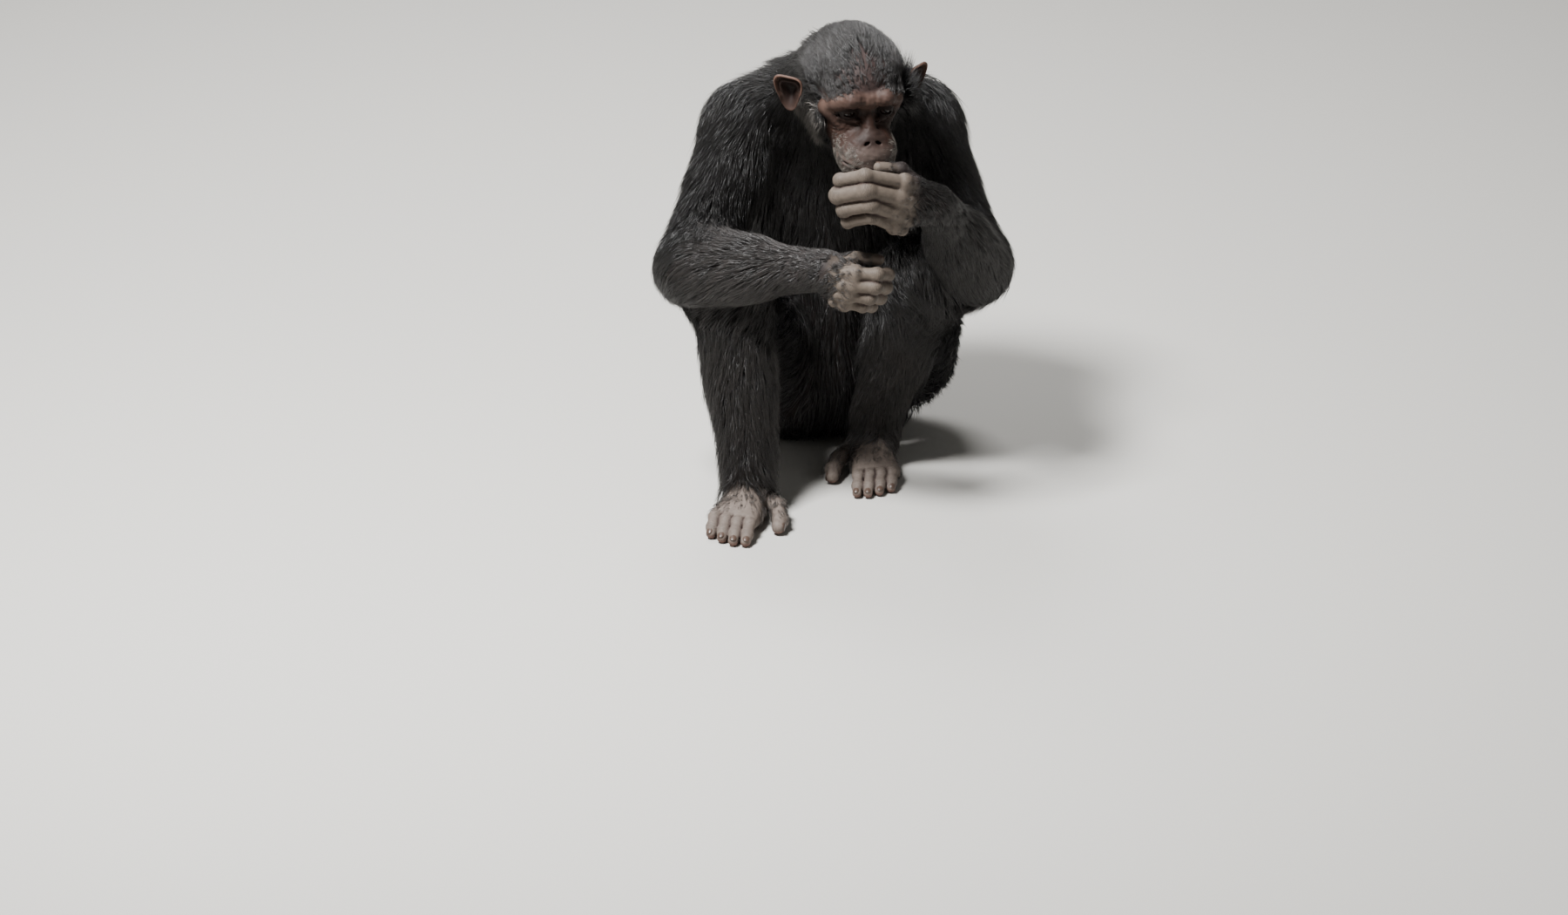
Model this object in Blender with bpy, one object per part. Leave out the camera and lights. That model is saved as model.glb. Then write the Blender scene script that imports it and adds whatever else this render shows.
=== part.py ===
"""A life-size chimpanzee, seated on its rump, knees up, both hands raised in front of its mouth.

Metres, +Z up. The origin is the middle of the seat, on the floor. The animal faces -Y, and its right
side is -X. The body is a set of masses (rods and eggs of flesh) that melt into one another. Each named
part is a sleeve of rays thrown from its own bones out to that flesh, and parts meet with a thin gap.
The shaggy coat is flat, tapered locks that lie along the body and are fused to the part they grow from.
"""

import math

import bmesh
import bpy
import numpy as np
from mathutils import Vector

# Gaps between parts, and how far the coat stands out of the flesh: tips of the locks, and their core
GAP = 0.0004
LIMB_COAT = 0.016
TRUNK_COAT = 0.018
CROWN_COAT = 0.004
CORE_SHARE = 0.5
WELD = 0.000001
NUDGE = 0.00006
BOOLEAN_TRIES = 6
LOCK_SECTIONS = ((0.0, 0.75, -1.0), (0.30, 1.0, 0.35), (0.68, 0.70, 0.75))
LOCK_TIP_LIFT = 0.95
LOCK_THICKNESS = 0.30
LOCK_SINK = 0.006

# Joint centres, measured from the middle of the seat
HIP = {"right": (-0.090, -0.045, 0.140), "left": (0.105, 0.015, 0.128)}
KNEE = {"right": (-0.147, -0.245, 0.315), "left": (0.150, -0.170, 0.322)}
ANKLE = {"right": (-0.122, -0.335, 0.078), "left": (0.078, -0.140, 0.078)}
SHOULDER = {"right": (-0.120, -0.018, 0.515), "left": (0.134, 0.000, 0.515)}
ELBOW = {"right": (-0.210, -0.262, 0.372), "left": (0.228, -0.175, 0.340)}
WRIST = {"right": (-0.005, -0.372, 0.408), "left": (0.165, -0.330, 0.500)}
FOOT_HEADING = {"right": (-0.17, -0.985, 0.0), "left": (-0.06, -0.998, 0.0)}

# Fingers from the knuckle to the tip, closed round the stalk that isn't there
FINGERS = {
    "right": {
        "index": (
            (0.054, -0.402, 0.414), (0.088, -0.404, 0.412),
            (0.100, -0.376, 0.401), (0.084, -0.350, 0.393),
        ),
        "middle": (
            (0.049, -0.406, 0.392), (0.083, -0.407, 0.390),
            (0.096, -0.379, 0.378), (0.080, -0.352, 0.370),
        ),
        "ring": (
            (0.043, -0.402, 0.371), (0.074, -0.403, 0.368),
            (0.086, -0.376, 0.356), (0.071, -0.350, 0.348),
        ),
        "little": (
            (0.035, -0.394, 0.352), (0.062, -0.396, 0.348),
            (0.073, -0.372, 0.337), (0.059, -0.349, 0.330),
        ),
    },
    "left": {
        "index": (
            (0.117, -0.392, 0.560), (0.056, -0.418, 0.583),
            (0.018, -0.400, 0.570), (0.020, -0.368, 0.554),
        ),
        "middle": (
            (0.108, -0.397, 0.537), (0.059, -0.421, 0.559),
            (0.015, -0.402, 0.545), (0.016, -0.370, 0.529),
        ),
        "ring": (
            (0.100, -0.399, 0.513), (0.066, -0.421, 0.534),
            (0.024, -0.404, 0.520), (0.023, -0.372, 0.504),
        ),
        "little": (
            (0.101, -0.394, 0.489), (0.068, -0.413, 0.509),
            (0.032, -0.399, 0.495), (0.030, -0.370, 0.480),
        ),
    },
}
THUMBS = {
    "right": ((0.012, -0.356, 0.416), (0.042, -0.364, 0.430), (0.076, -0.360, 0.426)),
    "left": ((0.150, -0.345, 0.530), (0.112, -0.350, 0.566), (0.078, -0.360, 0.572)),
}
FINGER_ROOT = 0.016
FINGER_R = {"index": 0.0125, "middle": 0.0128, "ring": 0.0122, "little": 0.0112}
THUMB_R = 0.0098
FINGER_TAPER = (1.0, 1.0, 1.02, 0.95, 0.8)
THUMB_TAPER = (1.25, 1.0, 0.8)

# Foot: lengths along the heading, and heights, of heel, ball and toes
HEEL_BACK = 0.036
BALL_AHEAD = 0.098
TOE_LENGTHS = (0.060, 0.062, 0.057, 0.048)
TOE_ROOT = 0.014
TOE_R = 0.0098
TOE_SPREAD = 0.0200
BIG_TOE_R = 0.0135

# Head: centre between the ears, and how it is turned
HEAD_CENTRE = (0.040, -0.190, 0.644)
HEAD_YAW = 17.0
HEAD_PITCH = 15.0
HEAD_ROLL = 1.0
EYE_X = 0.0285
EYE_Y = -0.0655
EYE_Z = 0.000
EYE_R = 0.0115
CROWN_RADII = (0.068, 0.080, 0.060)
NOSTRIL = (0.0085, -0.118, -0.0375)
NOSTRIL_RADII = (0.0042, 0.007, 0.0028)
SLIT_RADII = (0.0105, 0.011, 0.0052)
EAR_PLACE = (0.098, 0.010, 0.004)
EAR_RADII = (0.026, 0.0085, 0.034)
EAR_CUP_RADII = (0.0185, 0.0085, 0.026)
EAR_YAW = 32
EAR_ROLL = 8


def vec(*numbers):
    """The numbers, or one sequence of them, as a float array."""
    return np.array(numbers[0] if len(numbers) == 1 else numbers, float)


def unit(v):
    """v at length one."""
    return v / np.linalg.norm(v)


def mix(a, b, share):
    """The point that lies share of the way from a to b."""
    return vec(a) * (1 - share) + vec(b) * share


def turn(yaw, pitch, roll):
    """Rotation matrix that rolls, then nods forward by pitch, then turns to the animal's left by yaw."""
    y, p, r = (math.radians(angle) for angle in (yaw, pitch, roll))
    about_z = np.array([[math.cos(y), -math.sin(y), 0], [math.sin(y), math.cos(y), 0], [0, 0, 1]])
    about_x = np.array([[1, 0, 0], [0, math.cos(p), -math.sin(p)], [0, math.sin(p), math.cos(p)]])
    about_y = np.array([[math.cos(r), 0, math.sin(r)], [0, 1, 0], [-math.sin(r), 0, math.cos(r)]])
    return about_z @ about_x @ about_y


HEAD_TURN = turn(HEAD_YAW, HEAD_PITCH, HEAD_ROLL)
LEVEL = np.eye(3)
FLOOR = (np.zeros(3), np.array([0.0, 0.0, 1.0]))


def on_head(*local):
    """A point of the head, given across, back and up from its centre, in the part's frame."""
    return vec(HEAD_CENTRE) + HEAD_TURN @ vec(*local)


# Flesh: every mass is a function of points that gives the distance to its surface, negative inside


def rod(a, b, ra, rb, flat=1.0, flat_axis=(0, 0, 1)):
    """A tapered rod from a to b, whose section is narrowed to flat times its radius along flat_axis."""
    a, b, axis = vec(a), vec(b), unit(vec(flat_axis))
    length = b - a
    along = length @ length

    def distance(points):
        offset = points - a
        share = np.clip(offset @ length / along, 0, 1)
        across = offset - share[:, None] * length
        across = across + np.outer(across @ axis, axis) * (1 / flat - 1)
        return np.linalg.norm(across, axis=1) - (ra + (rb - ra) * share)

    return distance


def egg(centre, radii, axes=LEVEL):
    """An egg with these half sizes along the columns of axes."""
    centre, radii = vec(centre), vec(radii)

    def distance(points):
        local = (points - centre) @ axes
        near = np.linalg.norm(local / radii, axis=1)
        slope = np.linalg.norm(local / radii**2, axis=1)
        return near * (near - 1) / np.maximum(slope, 1e-9)

    return distance


def melt(masses, blend):
    """Masses joined in one surface, with a fillet about blend wide where they meet."""

    def distance(points):
        whole = masses[0](points)
        for mass in masses[1:]:
            other = mass(points)
            share = np.clip(0.5 + 0.5 * (other - whole) / blend, 0, 1)
            whole = other * (1 - share) + whole * share - blend * share * (1 - share)
        return whole

    return distance


def grown(body, depth):
    """A body with a layer of that depth over it."""
    return lambda points: body(points) - depth


# Meshes


def new_object(name, points, faces):
    """A mesh object with outward normals, in the model's collection."""
    mesh = bpy.data.meshes.new(name)
    mesh.from_pydata([tuple(point) for point in points], [], faces)
    obj = bpy.data.objects.new(name, mesh)
    MODEL.objects.link(obj)
    face_outwards(obj)
    return obj


def face_outwards(obj):
    """Turns every face of a closed mesh outwards, and makes it of triangles."""
    work = bmesh.new()
    work.from_mesh(obj.data)
    bmesh.ops.triangulate(work, faces=work.faces)
    bmesh.ops.recalc_face_normals(work, faces=work.faces)
    if work.calc_volume(signed=True) < 0:
        bmesh.ops.reverse_faces(work, faces=work.faces)
    work.to_mesh(obj.data)
    work.free()


def tube_faces(rings, sides):
    """Faces of a closed tube: rings of points, then one pole at each end."""
    first_pole, last_pole = rings * sides, rings * sides + 1
    faces = []
    for side in range(sides):
        following = (side + 1) % sides
        for ring in range(rings - 1):
            low, high = ring * sides, (ring + 1) * sides
            faces.append((low + side, low + following, high + following, high + side))
        last = (rings - 1) * sides
        faces.append((first_pole, following, side))
        faces.append((last_pole, last + side, last + following))
    return faces


def resampled(path, count):
    """Evenly spaced points on a smooth curve through the path's points."""
    path = np.array(path, float)
    if len(path) == 2:
        return path[0] + np.linspace(0, 1, count)[:, None] * (path[1] - path[0])
    steps = np.linalg.norm(np.diff(path, axis=0), axis=1)
    knots = np.concatenate([[0], np.cumsum(steps)])
    tangents = np.gradient(path, knots, axis=0)
    places = np.linspace(0, knots[-1], count)
    span = np.clip(np.searchsorted(knots, places, side="right") - 1, 0, len(steps) - 1)
    width = steps[span][:, None]
    t = ((places - knots[span]) / steps[span])[:, None]
    return (
        (2 * t**3 - 3 * t**2 + 1) * path[span]
        + (t**3 - 2 * t**2 + t) * width * tangents[span]
        + (3 * t**2 - 2 * t**3) * path[span + 1]
        + (t**3 - t**2) * width * tangents[span + 1]
    )


def sleeve_rays(path, sides, rings, dome, up):
    """Origins and directions of rays that leave an axis sideways, and fan out at its two ends."""
    centres = resampled(path, rings)
    tangents = np.gradient(centres, axis=0)
    tangents /= np.linalg.norm(tangents, axis=1)[:, None]
    origins, directions = [], []
    tilts = [math.pi / 2 * (1 - k / (dome + 1)) for k in range(1, dome + 1)]
    plan = [(0, -tilt) for tilt in tilts]
    plan += [(ring, 0.0) for ring in range(rings)]
    plan += [(rings - 1, tilt) for tilt in reversed(tilts)]
    for ring, tilt in plan:
        tangent = tangents[ring]
        out = unit(vec(up) - tangent * (vec(up) @ tangent))
        side = np.cross(tangent, out)
        for k in range(sides):
            angle = 2 * math.pi * k / sides
            sideways = out * math.cos(angle) + side * math.sin(angle)
            origins.append(centres[ring])
            directions.append(sideways * math.cos(tilt) + tangent * math.sin(tilt))
    for ring, sign in ((0, -1), (rings - 1, 1)):
        origins.append(centres[ring])
        directions.append(sign * tangents[ring])
    return np.array(origins), np.array(directions), len(plan)


def cast(field, origins, directions, reach, steps=64):
    """How far each ray goes before it leaves the flesh, or reach where it doesn't."""
    spans = reach * np.linspace(0, 1, steps + 1)
    points = origins[:, None, :] + directions[:, None, :] * spans[None, :, None]
    depth = field(points.reshape(-1, 3)).reshape(len(origins), -1)
    outside = depth > 0
    outside[:, 0] = False
    found = outside.any(axis=1)
    last = np.where(found, outside.argmax(axis=1), steps)
    row = np.arange(len(origins))
    inner, outer = depth[row, last - 1], depth[row, last]
    share = np.clip(inner / np.minimum(inner - outer, -1e-9), 0, 1)
    return np.where(found, spans[last - 1] + share * (spans[last] - spans[last - 1]), reach)


def sleeve(name, field, path, reach, sides, rings, dome=2, up=(0, -1, 0.3)):
    """A closed part, thrown from its bones at path out to the flesh, no further than reach."""
    origins, directions, count = sleeve_rays(path, sides, rings, dome, up)
    lengths = cast(field, origins, directions, reach)
    points = origins + directions * lengths[:, None]
    return new_object(name, points, tube_faces(count, sides))


def boolean(obj, other, operation, solver="MANIFOLD"):
    """Applies a Boolean with another object, or with a collection of closed ones."""
    modifier = obj.modifiers.new(operation, "BOOLEAN")
    modifier.operation = operation
    modifier.solver = solver
    if isinstance(other, bpy.types.Collection):
        modifier.operand_type = "COLLECTION"
        modifier.collection = other
    else:
        modifier.object = other
    operands = other.objects if isinstance(other, bpy.types.Collection) else [other]
    for _ in range(BOOLEAN_TRIES):
        graph = bpy.context.evaluated_depsgraph_get()
        result = bpy.data.meshes.new_from_object(obj.evaluated_get(graph))
        if not pinched(result):
            break
        for operand in operands:
            nudge(operand)
        bpy.context.view_layer.update()
    obj.modifiers.clear()
    old, obj.data = obj.data, result
    bpy.data.meshes.remove(old)
    keep_largest(obj)


def pinched(mesh):
    """True if a mesh, in triangles, touches itself along an edge or isn't closed."""
    work = bmesh.new()
    work.from_mesh(mesh)
    bmesh.ops.triangulate(work, faces=work.faces)
    bmesh.ops.remove_doubles(work, verts=work.verts, dist=WELD)
    found = any(len(edge.link_faces) != 2 for edge in work.edges)
    work.free()
    return found


def nudge(obj):
    """Moves an object's points a hair's breadth, so that faces no longer meet along an edge."""
    for vertex in obj.data.vertices:
        vertex.co += Vector(RANDOM.uniform(-NUDGE, NUDGE, 3))
    obj.data.update()


def keep_largest(obj):
    """Drops every loose scrap but the largest closed surface."""
    work = bmesh.new()
    work.from_mesh(obj.data)
    bmesh.ops.triangulate(work, faces=work.faces)
    islands, left = [], set(work.faces)
    while left:
        island, edge = set(), [left.pop()]
        while edge:
            face = edge.pop()
            island.add(face)
            for side in face.edges:
                for near in side.link_faces:
                    if near in left:
                        left.remove(near)
                        edge.append(near)
        islands.append(island)
    islands.sort(key=lambda island: sum(face.calc_area() for face in island))
    for island in islands[:-1]:
        bmesh.ops.delete(work, geom=list(island), context="FACES")
    work.to_mesh(obj.data)
    work.free()


def swollen(obj, depth):
    """A copy of a part, every point pushed out along its normal, for cutting clear of it."""
    copy = bpy.data.objects.new(obj.name + "_cutter", obj.data.copy())
    CUTTERS.objects.link(copy)
    copy.hide_render = True
    copy.display_type = "WIRE"
    normals = np.empty(len(copy.data.vertices) * 3, np.float32)
    places = np.empty_like(normals)
    copy.data.vertices.foreach_get("normal", normals)
    copy.data.vertices.foreach_get("co", places)
    copy.data.vertices.foreach_set("co", places + depth * normals)
    copy.data.update()
    return copy


def slope(field, points, step=0.001):
    """The direction straight out of the flesh at each point."""
    moves = np.eye(3) * step
    out = np.stack([field(points + move) - field(points - move) for move in moves], axis=1)
    return out / np.maximum(np.linalg.norm(out, axis=1), 1e-12)[:, None]


def at_level(field, points, level):
    """Points slid straight in or out until they lie at a level above the flesh."""
    for _ in range(3):
        points = points - slope(field, points) * (field(points) - level)[:, None]
    return points


def lock_mesh(name, field, root, lie, length, width, rise):
    """One flat tapered lock that leaves its root, lies along the flesh and lifts a little at its tip."""
    rings = []
    for share, girth, level in LOCK_SECTIONS:
        height = -LOCK_SINK if level < 0 else rise * level
        place = at_level(field, (root + lie * length * share)[None, :], height)
        out = slope(field, place)[0]
        across = unit(np.cross(lie, out)) * width * girth / 2
        thick = out * width * girth * LOCK_THICKNESS
        rings.append([place[0] + across, place[0] + thick, place[0] - across])
    tip = at_level(field, (root + lie * length)[None, :], rise * LOCK_TIP_LIFT)[0]
    points = [point for ring in rings for point in ring]
    sides, last = len(rings[0]), (len(rings) - 1) * len(rings[0])
    faces = [tuple(range(sides))[::-1]]
    for k in range(sides):
        following = (k + 1) % sides
        for low in range(0, last, sides):
            faces.append((low + k, low + following, low + sides + following, low + sides + k))
        faces.append((last + k, last + following, len(points)))
    return new_object(name, [*points, tip], faces)


def add_locks(obj, field, axis, lie, rows, per_row, size, reach, grows=None):
    """Fuses rows of locks to a part: roots are thrown from its axis, and lie gives the way they point."""
    length, width, rise = size
    group = bpy.data.collections.new(obj.name + "_locks")
    bpy.context.scene.collection.children.link(group)
    start_point, end_point = vec(axis[0]), vec(axis[1])
    along = unit(end_point - start_point)
    first = unit(np.cross(along, (0.3, 0.5, 0.8)))
    second = np.cross(along, first)
    for row in range(rows):
        for k in range(per_row):
            share = (row + 0.5 + RANDOM.uniform(-0.22, 0.22)) / rows
            turn_by = 2 * math.pi * (k + 0.5 * (row % 2) + RANDOM.uniform(-0.2, 0.2)) / per_row
            origin = start_point + (end_point - start_point) * share
            ray = first * math.cos(turn_by) + second * math.sin(turn_by)
            root = origin + ray * cast(field, origin[None, :], ray[None, :], reach)[0]
            if abs(field(root[None, :])[0]) > 0.004 or (grows and not grows(root)):
                continue
            out = slope(field, root[None, :])[0]
            way = vec(lie(root)) + RANDOM.normal(0, 0.10, 3)
            way = unit(way - out * (way @ out))
            grown_length = length * RANDOM.uniform(0.8, 1.15)
            grown_width = width * RANDOM.uniform(0.85, 1.15)
            lock = lock_mesh("lock", field, root, way, grown_length, grown_width, rise)
            MODEL.objects.unlink(lock)
            group.objects.link(lock)
    boolean(obj, group, "UNION", "EXACT")
    for lock in list(group.objects):
        bpy.data.objects.remove(lock)
    bpy.data.collections.remove(group)


def inside_any(point, parts):
    """True where a point is inside one of the parts, or close to it."""
    for part in parts:
        hit, place, normal, _ = part.closest_point_on_mesh(tuple(point))
        if hit and (vec(point) - vec(place)) @ vec(normal) < 0.004:
            return True
    return False


def clear_of(obj, *neighbours):
    """Cuts a part back so that it meets each neighbour with the gap between them."""
    for neighbour in neighbours:
        for depth in (GAP, 0.0):
            cutter = swollen(neighbour, depth)
            boolean(obj, cutter, "DIFFERENCE")
            bpy.data.objects.remove(cutter)


def slice_off(obj, point, normal):
    """Removes what lies past a plane, on the side its normal points to, and closes the cut."""
    work = bmesh.new()
    work.from_mesh(obj.data)
    everything = work.verts[:] + work.edges[:] + work.faces[:]
    cut = bmesh.ops.bisect_plane(
        work, geom=everything, dist=1e-6, plane_co=tuple(point), plane_no=tuple(normal), clear_outer=True
    )
    rim = [item for item in cut["geom_cut"] if isinstance(item, bmesh.types.BMEdge)]
    if rim:
        bmesh.ops.holes_fill(work, edges=rim, sides=0)
    bmesh.ops.triangulate(work, faces=work.faces)
    work.to_mesh(obj.data)
    work.free()
    keep_largest(obj)


# The animal's flesh, group by group


NECK_BASE = vec(0.010, -0.020, 0.530)
NECK_TOP = on_head(0, 0.045, -0.010)


def trunk_flesh():
    """Pelvis, belly, rib cage, shoulders and neck."""
    pelvis_turn = turn(20, 0, 0)
    return [
        egg((0.000, 0.000, 0.120), (0.125, 0.105, 0.110), pelvis_turn),
        egg((-0.062, -0.010, 0.058), (0.066, 0.072, 0.054), pelvis_turn),
        egg((0.066, 0.010, 0.058), (0.068, 0.072, 0.054), pelvis_turn),
        egg((0.000, 0.000, 0.250), (0.128, 0.118, 0.120)),
        egg((0.000, 0.004, 0.400), (0.150, 0.124, 0.150)),
        egg((0.003, -0.005, 0.500), (0.150, 0.100, 0.080)),
        rod(NECK_BASE, NECK_TOP, 0.088, 0.066),
    ]


def arm_flesh(side):
    """Upper arm and forearm, with the swell of the muscles and the wrist's end."""
    shoulder, elbow, wrist = SHOULDER[side], ELBOW[side], WRIST[side]
    return [
        egg(shoulder, (0.060, 0.060, 0.062)),
        rod(shoulder, elbow, 0.056, 0.043),
        rod(mix(elbow, wrist, 0.12), mix(elbow, wrist, 0.45), 0.045, 0.042),
        rod(elbow, wrist, 0.042, 0.027),
    ]


def finger_run(side, name):
    """A finger's joints, started a little way inside the hand."""
    joints = [vec(joint) for joint in FINGERS[side][name]]
    return [joints[0] - unit(joints[1] - joints[0]) * FINGER_ROOT, *joints]


def knuckle_plane(side):
    """The plane that parts the fingers from the hand: a point and the way the fingers go on."""
    runs = [finger_run(side, name) for name in FINGERS[side]]
    point = sum(run[1] for run in runs) / len(runs)
    return point, unit(sum(unit(run[2] - run[1]) for run in runs))


def hand_flesh(side):
    """The back of the hand: a bone to each finger and the pad of the thumb."""
    wrist = vec(WRIST[side])
    bones = [rod(wrist, finger_run(side, name)[1], 0.019, 0.0125) for name in FINGERS[side]]
    knuckle_row = [joints[0] for joints in FINGERS[side].values()]
    bones.append(rod(knuckle_row[0], knuckle_row[-1], 0.011, 0.010))
    bones.append(rod(wrist, THUMBS[side][0], 0.020, 0.0135))
    bones.append(rod(mix(ELBOW[side], wrist, 0.8), wrist, 0.029, 0.026))
    return bones


def leg_flesh(side):
    """Thigh and shin, with knee and calf."""
    hip, knee, ankle = HIP[side], KNEE[side], ANKLE[side]
    return [
        rod(hip, knee, 0.086, 0.052),
        egg(knee, (0.050, 0.050, 0.052)),
        rod(mix(knee, ankle, 0.12), mix(knee, ankle, 0.60), 0.047, 0.040),
        rod(knee, ankle, 0.044, 0.034),
    ]


def foot_frame(side):
    """The ankle on the floor, the heading of the foot, and the way across it to the big toe's side."""
    heading = unit(vec(FOOT_HEADING[side]))
    inner = np.cross(heading, (0, 0, 1)) * (-1 if side == "right" else 1)
    return vec(ANKLE[side]) * (1, 1, 0), heading, inner


def on_foot(side, ahead, inward, up):
    """A point of a foot, given ahead of the ankle, towards the big toe's side, and above the floor."""
    ankle, heading, inner = foot_frame(side)
    return ankle + heading * ahead + inner * inward + vec(0, 0, up)


def toe_paths(side):
    """The run of each toe, from the ball of the foot down to its tip on the floor."""
    paths = {}
    for k, length in enumerate(TOE_LENGTHS):
        across = 0.020 - k * TOE_SPREAD
        ball = BALL_AHEAD - 0.004 * k
        paths[f"toe_{k + 2}"] = (
            on_foot(side, ball - TOE_ROOT, across * 0.9, 0.018),
            on_foot(side, ball + length * 0.40, across * 1.05, 0.026),
            on_foot(side, ball + length * 0.75, across * 1.1, 0.017),
            on_foot(side, ball + length * 0.96, across * 1.1, 0.009),
        )
    paths["big_toe"] = (
        on_foot(side, 0.012, 0.028, 0.027),
        on_foot(side, 0.050, 0.054, 0.025),
        on_foot(side, 0.084, 0.064, 0.017),
        on_foot(side, 0.101, 0.064, 0.0125),
    )
    return paths


def foot_flesh(side):
    """Heel, instep, sole, ball, and the root of each toe."""
    _, heading, inner = foot_frame(side)
    paths = toe_paths(side)
    roots = [
        rod(on_foot(side, 0.02, 0.006, 0.034), mix(run[0], run[1], 0.6), 0.020, 0.0115)
        for run in paths.values()
    ]
    sides = np.column_stack([inner, heading, (0, 0, 1)])
    return roots + [
        egg(on_foot(side, -HEEL_BACK + 0.012, 0, 0.028), (0.027, 0.036, 0.032), sides),
        rod(ANKLE[side], on_foot(side, 0.020, 0, 0.038), 0.031, 0.028),
        egg(on_foot(side, 0.045, 0.002, 0.022), (0.033, 0.060, 0.026), sides),
        egg(on_foot(side, BALL_AHEAD - 0.012, -0.008, 0.015), (0.041, 0.030, 0.018), sides),
    ]


def head_masses():
    """Skull, cheeks, muzzle and jaw."""

    def lump(place, radii):
        return egg(on_head(place), radii, HEAD_TURN)

    return [
        lump((0, 0.012, 0.022), (0.066, 0.080, 0.058)),
        lump((0, -0.040, -0.010), (0.052, 0.034, 0.040)),
        lump((0, -0.020, -0.045), (0.052, 0.050, 0.040)),
        lump((0, -0.080, -0.054), (0.041, 0.045, 0.030)),
        lump((0, -0.102, -0.057), (0.036, 0.028, 0.021)),
        lump((0, -0.066, -0.080), (0.038, 0.055, 0.024)),
        lump((0, -0.098, -0.081), (0.030, 0.024, 0.016)),
    ]


def face_flesh():
    """The bare head: masses, brow, cheek bones, nose, and the lids over the eyes."""
    ridges = []
    for sign in (-1, 1):
        eye = on_head(sign * EYE_X, EYE_Y, EYE_Z)
        ridges += [
            rod(on_head(0, -0.074, 0.020), on_head(sign * 0.026, -0.073, 0.024), 0.010, 0.011),
            rod(on_head(sign * 0.026, -0.073, 0.024), on_head(sign * 0.052, -0.048, 0.012), 0.011, 0.010),
            rod(on_head(sign * 0.034, -0.062, -0.024), on_head(sign * 0.055, -0.032, -0.010), 0.010, 0.011),
            rod(on_head(sign * 0.009, -0.108, -0.036), on_head(sign * 0.017, -0.102, -0.038), 0.009, 0.007),
            egg(eye, (EYE_R + 0.004, EYE_R + 0.003, EYE_R + 0.004), HEAD_TURN),
        ]
    ridges.append(rod(on_head(0, -0.070, 0.002), on_head(0, -0.108, -0.034), 0.010, 0.011))
    return melt([melt(head_masses(), 0.022), *ridges], 0.008)


def start():
    """Clears the scene and makes the two collections."""
    for obj in list(bpy.data.objects):
        bpy.data.objects.remove(obj)
    made = []
    for name in ("Chimpanzee", "Cutters"):
        collection = bpy.data.collections.new(name)
        bpy.context.scene.collection.children.link(collection)
        made.append(collection)
    made[1].hide_render = True
    return made


MODEL, CUTTERS = start()
RANDOM = np.random.default_rng(7)


def miter(before, joint, after):
    """The plane across a bent joint: a point and the direction in which the limb goes on."""
    return vec(joint), unit(unit(vec(joint) - vec(before)) + unit(vec(after) - vec(joint)))


def keep_before(obj, plane, gap=GAP):
    """Keeps the part before a joint's plane."""
    slice_off(obj, plane[0] - plane[1] * gap / 2, plane[1])


def keep_after(obj, plane, gap=GAP):
    """Keeps the part past a joint's plane."""
    slice_off(obj, plane[0] + plane[1] * gap / 2, -plane[1])


def tube(name, path, radii, sides, rings, up=(0, 0, 1)):
    """A closed round limb along a smooth path, with a domed end at each side."""
    centres = resampled(path, rings)
    sizes = np.interp(np.linspace(0, 1, rings), np.linspace(0, 1, len(radii)), radii)
    tangents = np.gradient(centres, axis=0)
    tangents /= np.linalg.norm(tangents, axis=1)[:, None]
    plan = [(0, -60), (0, -30), *((ring, 0) for ring in range(rings)), (rings - 1, 30), (rings - 1, 60)]
    points = []
    for ring, tilt in plan:
        tangent = tangents[ring]
        out = unit(vec(up) - tangent * (vec(up) @ tangent))
        side = np.cross(tangent, out)
        reach, ahead = math.cos(math.radians(tilt)), math.sin(math.radians(tilt))
        for k in range(sides):
            angle = 2 * math.pi * (k + 0.5) / sides
            sideways = out * math.cos(angle) + side * math.sin(angle)
            points.append(centres[ring] + sizes[ring] * (sideways * reach + tangent * ahead))
    points.append(centres[0] - tangents[0] * sizes[0])
    points.append(centres[-1] + tangents[-1] * sizes[-1])
    return new_object(name, points, tube_faces(len(plan), sides))


def ball(name, centre, radii, axes, sides, rings):
    """A closed egg of points round its first axis."""
    points = []
    for ring in range(1, rings + 1):
        polar = math.pi * ring / (rings + 1)
        for k in range(sides):
            angle = 2 * math.pi * k / sides
            local = (-math.cos(polar), math.sin(polar) * math.cos(angle), math.sin(polar) * math.sin(angle))
            points.append(vec(centre) + axes @ (vec(local) * radii))
    points.append(vec(centre) - axes[:, 0] * radii[0])
    points.append(vec(centre) + axes[:, 0] * radii[0])
    return new_object(name, points, tube_faces(rings, sides))


def cut_away(obj, cutter):
    """Presses a temporary object into a part and removes it."""
    boolean(obj, cutter, "DIFFERENCE")
    bpy.data.objects.remove(cutter)


def mouth_cutter():
    """A thin curved blade that parts the lips round the front of the muzzle."""
    count, top, depth, half = 11, 0.036, 0.012, 0.0009
    points = []
    for k in range(count):
        angle = math.radians(-88 + 176 * k / (count - 1))
        bend = 0.004 * math.cos(angle) - 0.004
        out = vec(math.sin(angle), -math.cos(angle), 0)
        edge = vec(0, -0.085, -0.0665 + bend) + out * (top * 1.4, top * 1.6, 1)
        inner = vec(0, -0.085, -0.0665 + bend) + out * (top - depth * 0.5, top * 1.15 - depth, 1)
        for place, rise in ((edge, 0.0016), (inner, half * 0.4), (inner, -half * 0.4), (edge, -0.0016)):
            points.append(on_head(place + vec(0, 0, rise)))
    points.append(sum(points[:4]) / 4)
    points.append(sum(points[-5:-1]) / 4)
    return new_object("mouth_cut", points, tube_faces(count, 4))


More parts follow.
